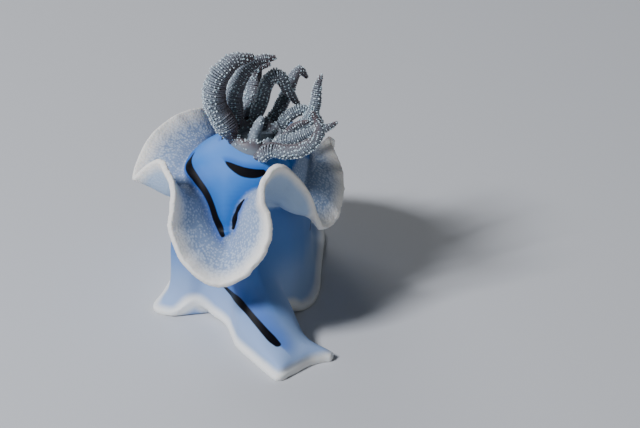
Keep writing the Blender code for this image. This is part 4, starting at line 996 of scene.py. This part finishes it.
def leaf_frames(points, samples, stem_set, facing):
    """Places along a gill leaf with their directions: ahead, outward and sideways; and its length."""
    path = through(points, np.linspace(0, len(points) - 1, PATH_PLACES))
    run = np.concatenate([[0], np.cumsum(np.linalg.norm(np.diff(path, axis=0), axis=1))])
    at = np.linspace(0, run[-1], samples)
    places = np.stack([np.interp(at, run, path[:, k]) for k in range(3)], axis=-1)
    ahead = unit(np.gradient(places, axis=0))
    side = unit(np.array(facing) - ahead * (ahead @ np.array(facing))[:, None])
    away = np.cross(side, ahead)
    places = places - away * stem_set * ease(np.linspace(0, 3.5, samples))[:, None]
    return places, ahead, away, side, run[-1]


def plate_reach(turns, reach, half_width):
    """How far a plate's edge lies from the stem: an oval drawn out, and notched, on the outer face."""
    oval = half_width + (reach - half_width) * np.maximum(np.cos(turns), 0.0) ** 1.5
    notch = 1 - NOTCH_DEPTH * np.exp(-(turns / NOTCH_TURN) ** 2)
    return oval * notch * (1 - INNER_DRAW_IN * ease((turns - 1.5) / 0.9))


def ball():
    """A small round bead of unit radius."""
    swing = math.pi * np.arange(1, BEAD_RINGS)[:, None] / BEAD_RINGS
    turn = 2 * math.pi * np.arange(BEAD_SIDES) / BEAD_SIDES
    height = np.broadcast_to(-np.cos(swing), (BEAD_RINGS - 1, BEAD_SIDES))
    rings = np.stack([np.sin(swing) * np.cos(turn), np.sin(swing) * np.sin(turn), height], axis=-1)
    points = np.vstack([rings.reshape(-1, 3), [(0, 0, -1), (0, 0, 1)]])
    return points, tube_faces(BEAD_RINGS - 1, BEAD_SIDES)


def plate(place, ahead, away, side, hand, reach, half_width, stem):
    """One thin gill plate: it leaves the stem all along one side and ends in a rounded edge."""
    out = np.cos(PLATE_TURNS)[:, None] * away + np.sin(PLATE_TURNS)[:, None] * side * hand
    across, thick = PLATE_ROUNDING[:, 0], PLATE_ROUNDING[:, 1] * PLATE_THICKNESS / 2
    edge = np.maximum(plate_reach(PLATE_TURNS, reach, half_width), stem * PLATE_LEAST)[:, None]
    radius = stem * PLATE_ROOT + (edge - stem * PLATE_ROOT) * across
    points = place + out[:, None] * radius[..., None] + ahead * (thick + PLATE_LEAN * radius)[..., None]
    rows, columns = radius.shape
    ends = [list(range(columns))[::-1], list(range((rows - 1) * columns, rows * columns))]
    return points.reshape(-1, 3), [face[::-hand] for face in sheet_faces(rows, columns).tolist() + ends]


def gill_leaf(points, reach, half_width, stem_set, stem_size, facing, rng):
    """The stem and plates of one leaf as flesh, its beads, and its middle line."""
    places, ahead, away, side, length = leaf_frames(points, LEAF_PLACES, stem_set, facing)
    along = np.linspace(0, 1, LEAF_PLACES)
    radii = np.interp(along, np.linspace(0, 1, len(STEM_RADII)), STEM_RADII) * stem_size
    flesh = [swept(places[::8], radii[::8], STEM_SIDES)]
    fine = np.linspace(0.0, BEAD_LIMIT, 80)
    beads = []
    for k in range(int((length - PLATE_START) / PLATE_PITCH) + 1):
        share = (PLATE_START + PLATE_PITCH * k) / length
        row = min(int(share * (LEAF_PLACES - 1)), LEAF_PLACES - 1)
        swell = math.sin(math.pi * min(1.0, SWELL_ALONG[0] + SWELL_ALONG[1] * share)) ** 0.5
        swell *= SWELL_AT_ROOT + (1 - SWELL_AT_ROOT) * float(ease(share * length / ROOT_LENGTH))
        for hand in (-1, 1):
            size = swell * rng.uniform(*PLATE_SIZES)
            form = (reach * size, half_width * size)
            flesh.append(plate(places[row], ahead[row], away[row], side[row], hand, *form, radii[row]))
            edge = np.maximum(plate_reach(fine, *form), radii[row])
            steps = np.hypot(np.diff(edge * np.cos(fine)), np.diff(edge * np.sin(fine)))
            rim = np.concatenate([[0], np.cumsum(steps)])
            for mark in BEAD_ROWS:
                mark = mark + rng.uniform(-BEAD_SHIFT, BEAD_SHIFT)
                if mark > rim[-1] or rng.random() > BEAD_CHANCES[k % 2]:
                    continue
                turn, out = (float(np.interp(mark, rim, values)) for values in (fine, edge))
                way = away[row] * math.cos(turn) + side[row] * math.sin(turn) * hand
                large = LARGE_BEAD if rng.random() < LARGE_BEAD_CHANCE else 1.0
                bead = BEAD_RADIUS * rng.uniform(*BEAD_SIZES) * (0.6 + 0.4 * swell) * large
                beads.append((places[row] + (way + ahead[row] * PLATE_LEAN) * out, bead))
    beads.append((places[-1] + ahead[-1] * radii[-1] * END_ROUNDING, BEAD_RADIUS * TIP_BEAD))
    return flesh, beads, places[::8], reach


def bead_shells(beads):
    points, faces = ball()
    return [(points * size + centre, faces) for centre, size in beads]


def clear_flesh_material(name, inner, outer):
    """Clear jelly: darker at the stem, where it is thick, and paler out at the thin edges."""
    made, tree = new_material(name)
    place = add(tree, "TexCoord", out="Object")
    cloud = add(tree, "TexNoise", {"Vector": place, "Scale": 1 / (FLESH_CLOUD_MM * METRE), "Detail": 4.0})
    away = add(tree, "Attribute", out="Fac", attribute_name="stem_share")
    spread = add(tree, "Math", {0: cloud, 1: 0.5, 2: away}, operation="MULTIPLY_ADD")
    share = add(tree, "MapRange", {"Value": spread, "From Min": 0.5, "From Max": 1.0})
    colour = add(tree, "Mix", {0: share, 6: inner, 7: outer}, 2, **IN_COLOUR)
    finish_material(tree, {
        "Base Color": colour, "Roughness": 0.4, "IOR": 1.36, "Specular IOR Level": 0.35,
        "Subsurface Weight": 0.6, "Subsurface Radius": (1.0, 0.95, 0.95), "Subsurface Scale": 0.6 * METRE,
    })
    return made


def bead_material():
    """Opaque white gland beads, faintly blue, with a wet highlight."""
    made, tree = new_material("white gland beads")
    place = add(tree, "TexCoord", out="Object")
    spots = add(tree, "TexNoise", {"Vector": place, "Scale": 1 / (BEAD_SPOT_MM * METRE), "Detail": 2.0})
    share = add(tree, "MapRange", {"Value": spots, "From Min": 0.3, "From Max": 0.6})
    colour = add(tree, "Mix", {0: share, 6: BEAD_BLUE, 7: BEAD_WHITE}, 2, **IN_COLOUR)
    finish_material(tree, {
        "Base Color": colour, "Roughness": 0.3, "IOR": 1.4,
        "Subsurface Weight": 0.2, "Subsurface Radius": (1.0, 1.0, 1.0), "Subsurface Scale": 0.15 * METRE,
    })
    return made


def flesh_with_beads(name, flesh, beads, line, reach, materials):
    """One piece of two finishes: flesh first, beads second."""
    points, faces = joined(flesh + bead_shells(beads))
    flesh_faces = sum(len(shell[1]) for shell in flesh)
    piece = bpy.data.objects.new(name, new_mesh(name, points, faces))
    bpy.context.scene.collection.objects.link(piece)
    for made in materials:
        piece.data.materials.append(made)
    finish = np.zeros(len(faces), np.int32)
    finish[flesh_faces:] = 1
    piece.data.polygons.foreach_set("material_index", finish)
    from_stem = np.linalg.norm(points[:, None] - line[None], axis=2).min(axis=1)
    write_field(piece, "stem_share", from_stem / reach)
    to_frame(piece)
    return piece


gill_materials = [
    clear_flesh_material("clear grey-brown gill flesh", GILL_BROWN, GILL_GREY), bead_material(),
]
rng = np.random.default_rng(GILL_SEED)
for number, (line, form) in enumerate(zip(GILL_LEAVES, LEAF_FORMS), start=1):
    leaf = flesh_with_beads(f"gill_leaf_{number}_dressed", *gill_leaf(line, *form, rng), gill_materials)
    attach(leaf, "root")
    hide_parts(f"gill_leaf_{number}")

# The collar that the leaves grow from is the same flesh, low and round, drawn up a little round the
# root of each leaf, with beads scattered over it and over the papilla inside it.
COLLAR_BEADS = 260
COLLAR_REACH = (-0.75, 0.45)
COLLAR_TURNS = 120
COLLAR_ACROSS = 11
COLLAR_HEIGHT = 0.7
COLLAR_DEPTH = 0.5
ROOT_HEIGHT = 0.7
ROOT_WIDTH = 0.6
COLLAR_MIDDLE = 1.1
COLLAR_SIZES = (0.5, 1.2)
COLLAR_SHIFT = 0.05
PAPILLA_BEADS = 26
PAPILLA_SIZES = (0.5, 1.1)
PAPILLA_BARE, PAPILLA_END = 0.2, 0.98


def gill_collar(rng):
    turn = np.linspace(0, 2 * math.pi, COLLAR_TURNS, endpoint=False)
    across = np.linspace(0, 1, COLLAR_ACROSS)
    roots = np.array([leaf[0] for leaf in GILL_LEAVES])
    upper = np.empty((len(turn), len(across), 3))
    lower = np.empty_like(upper)
    for k, angle in enumerate(turn):
        for c, share in enumerate(across):
            reach = GILL_RING + COLLAR_REACH[0] + (COLLAR_REACH[1] - COLLAR_REACH[0]) * share
            x, y = GILL_CENTRE[0] + reach * math.cos(angle), GILL_CENTRE[1] + reach * math.sin(angle)
            z = back_height(x, y)
            root = np.exp(-(np.hypot(roots[:, 0] - x, roots[:, 1] - y).min() / ROOT_WIDTH) ** 2)
            rise = (COLLAR_HEIGHT + ROOT_HEIGHT * root) * (1 - (2 * share - 1) ** 2) ** 0.7
            upper[k, c] = (x, y, z + rise)
            lower[k, c] = (x, y, z - COLLAR_DEPTH)
    beads = []
    for _ in range(COLLAR_BEADS):
        k, c = rng.integers(len(turn)), rng.integers(1, len(across) - 1)
        place = upper[k, c] + rng.uniform(-COLLAR_SHIFT, COLLAR_SHIFT, 3)
        beads.append((place, BEAD_RADIUS * rng.uniform(*COLLAR_SIZES)))
    for k, angle in enumerate(rng.uniform(0, 2 * math.pi, PAPILLA_BEADS)):
        share = PAPILLA_BARE + (PAPILLA_END - PAPILLA_BARE) * k / PAPILLA_BEADS
        place = through(PAPILLA, [share * (len(PAPILLA) - 1)])[0]
        radius = np.interp(share, np.linspace(0, 1, len(PAPILLA_RADII)), PAPILLA_RADII)
        out = np.array([math.cos(angle), math.sin(angle), 0.1]) * radius
        beads.append((place + out, BEAD_RADIUS * rng.uniform(*PAPILLA_SIZES)))
    middle = lower[::4, COLLAR_ACROSS // 2] + np.array([0.0, 0.0, COLLAR_MIDDLE])
    return [slab(upper, lower, ring=True)], beads, middle, 1.0


collar = flesh_with_beads("gill_collar", *gill_collar(rng), gill_materials)
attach(collar, "root")
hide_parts("gill_base")

# Two rhinophores, the feelers it smells with, stand on the head end of the back: a stalk and a club
# of thin leaves stacked along a core, with white specks on the leaves' edges.
RHINOPHORE_HEIGHT = 2.9
CLUB_RADIUS = 0.6
CLUB_BOTTOM = 0.95
CLUB_LEAVES = 14
CLUB_LEAF = [(0.62, -0.5), (1.0, -0.12), (0.98, 0.15)]
STALK_RADIUS = 0.42
FEELER_SIDES = 36
FEELER_BACK = -0.12
SPECKS_A_LEAF = 5
SPECK_SIZES = (0.4, 0.7)
FEELER_BLUE = "#54749E"
FEELER_PALE = "#7F9CC4"


def rhinophore(x, y, lean, rng):
    base = back_height(x, y)
    profile = [(0.0, -0.7), (STALK_RADIUS, -0.6), (STALK_RADIUS, 0.6), (STALK_RADIUS * 0.9, CLUB_BOTTOM)]
    top = RHINOPHORE_HEIGHT - 0.25
    pitch = (top - CLUB_BOTTOM) / CLUB_LEAVES
    beads = []
    for k in range(CLUB_LEAVES):
        share = 1 - (k + 0.5) / CLUB_LEAVES
        z = CLUB_BOTTOM + pitch * (k + 0.5)
        swell = CLUB_RADIUS * math.sin(math.pi * (0.18 + 0.66 * share)) ** 0.7
        profile += [(swell * part, z + pitch * rise) for part, rise in CLUB_LEAF]
        for _ in range(SPECKS_A_LEAF):
            turn = rng.uniform(0, 2 * math.pi)
            speck = (swell * math.cos(turn), swell * math.sin(turn), z)
            beads.append((speck, BEAD_RADIUS * rng.uniform(*SPECK_SIZES)))
    profile += [(0.24, top + 0.02), (0.2, RHINOPHORE_HEIGHT - 0.1), (0.0, RHINOPHORE_HEIGHT)]
    turn = np.linspace(0, 2 * math.pi, FEELER_SIDES, endpoint=False)
    out, height = (column[:, None] for column in np.array(profile[1:-1]).T)
    rings = np.stack(np.broadcast_arrays(out * np.cos(turn), out * np.sin(turn), height), axis=-1)
    points = np.vstack([rings.reshape(-1, 3), [(0, 0, profile[0][1]), (0, 0, profile[-1][1])]])
    faces = tube_faces(len(rings), FEELER_SIDES)
    tip_back = np.array(Matrix.Rotation(lean, 3, "Y") @ Matrix.Rotation(FEELER_BACK, 3, "X"))
    move = np.array([x, y, base])
    placed = [(tip_back @ np.array(place) + move, size) for place, size in beads]
    core = np.linspace((0, 0, 0), (0, 0, RHINOPHORE_HEIGHT), 20)
    return [(points @ tip_back.T + move, faces)], placed, core @ tip_back.T + move, CLUB_RADIUS


feeler_materials = [
    clear_flesh_material("blue-grey feeler flesh", FEELER_BLUE, FEELER_PALE), gill_materials[1],
]
for side, (x, y, lean) in RHINOPHORES.items():
    feeler = flesh_with_beads(f"rhinophore_{side}_dressed", *rhinophore(x, y, lean, rng), feeler_materials)
    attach(feeler, "root")
    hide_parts(f"rhinophore_{side}")

# The animal rests on a plain floor of matt pale paper, which takes a soft shadow and no shine.
FLOOR_SIZE = 2.0
bpy.ops.mesh.primitive_plane_add(size=FLOOR_SIZE, location=(0, 0, 0))
floor = bpy.context.object
floor.name = "studio_floor"
paper, paper_tree = new_material("matt pale paper")
finish_material(paper_tree, {"Base Color": "#C9CBCE", "Roughness": 0.9})
floor.data.materials.append(paper)

# Studio light: a key lamp from the upper left beside the camera, a weak broad fill from the right, a
# rim lamp from beyond, and a pale room. Each is a place in metres, a width, a power and a colour.
LAMPS_AIM = Vector((0, 0, 0.012))
ROOM_STRENGTH = 0.11
LIGHTS = {
    "key": ((-0.28, -0.21, 0.33), 0.1, 3.0, "#F6F8FF"),
    "fill": ((0.36, -0.2, 0.2), 0.3, 0.06, "#E8F0FF"),
    "rim": ((-0.16, 0.36, 0.26), 0.2, 0.5, "#FFFFFF"),
}
for name, (place, size, power, colour) in LIGHTS.items():
    lamp = bpy.data.lights.new(name, "AREA")
    lamp.size = size
    lamp.energy = power
    lamp.color = linear(colour)[:3]
    holder = bpy.data.objects.new(name, lamp)
    holder.location = place
    holder.rotation_euler = (LAMPS_AIM - Vector(place)).to_track_quat("-Z", "Y").to_euler()
    bpy.context.scene.collection.objects.link(holder)
room = bpy.data.worlds.new("pale room")
bpy.context.scene.world = room
room.use_nodes = True
backdrop = room.node_tree.nodes["Background"].inputs
backdrop["Color"].default_value = linear("#DDE2E8")
backdrop["Strength"].default_value = ROOM_STRENGTH

# The camera looks down on the animal from behind, as in the photograph.
camera = bpy.data.objects.new("camera", bpy.data.cameras.new("camera"))
camera.data.sensor_width = 36.0
camera.data.lens = PIXELS_PER_SLOPE * camera.data.sensor_width / PHOTO_SIZE[0]
camera.data.clip_start = 0.01
camera.location = (CAMERA_PLACE - SOLE_CENTRE) * METRE
camera.rotation_euler = Vector(AHEAD).to_track_quat("-Z", "Y").to_euler()
bpy.context.scene.collection.objects.link(camera)
bpy.context.scene.camera = camera
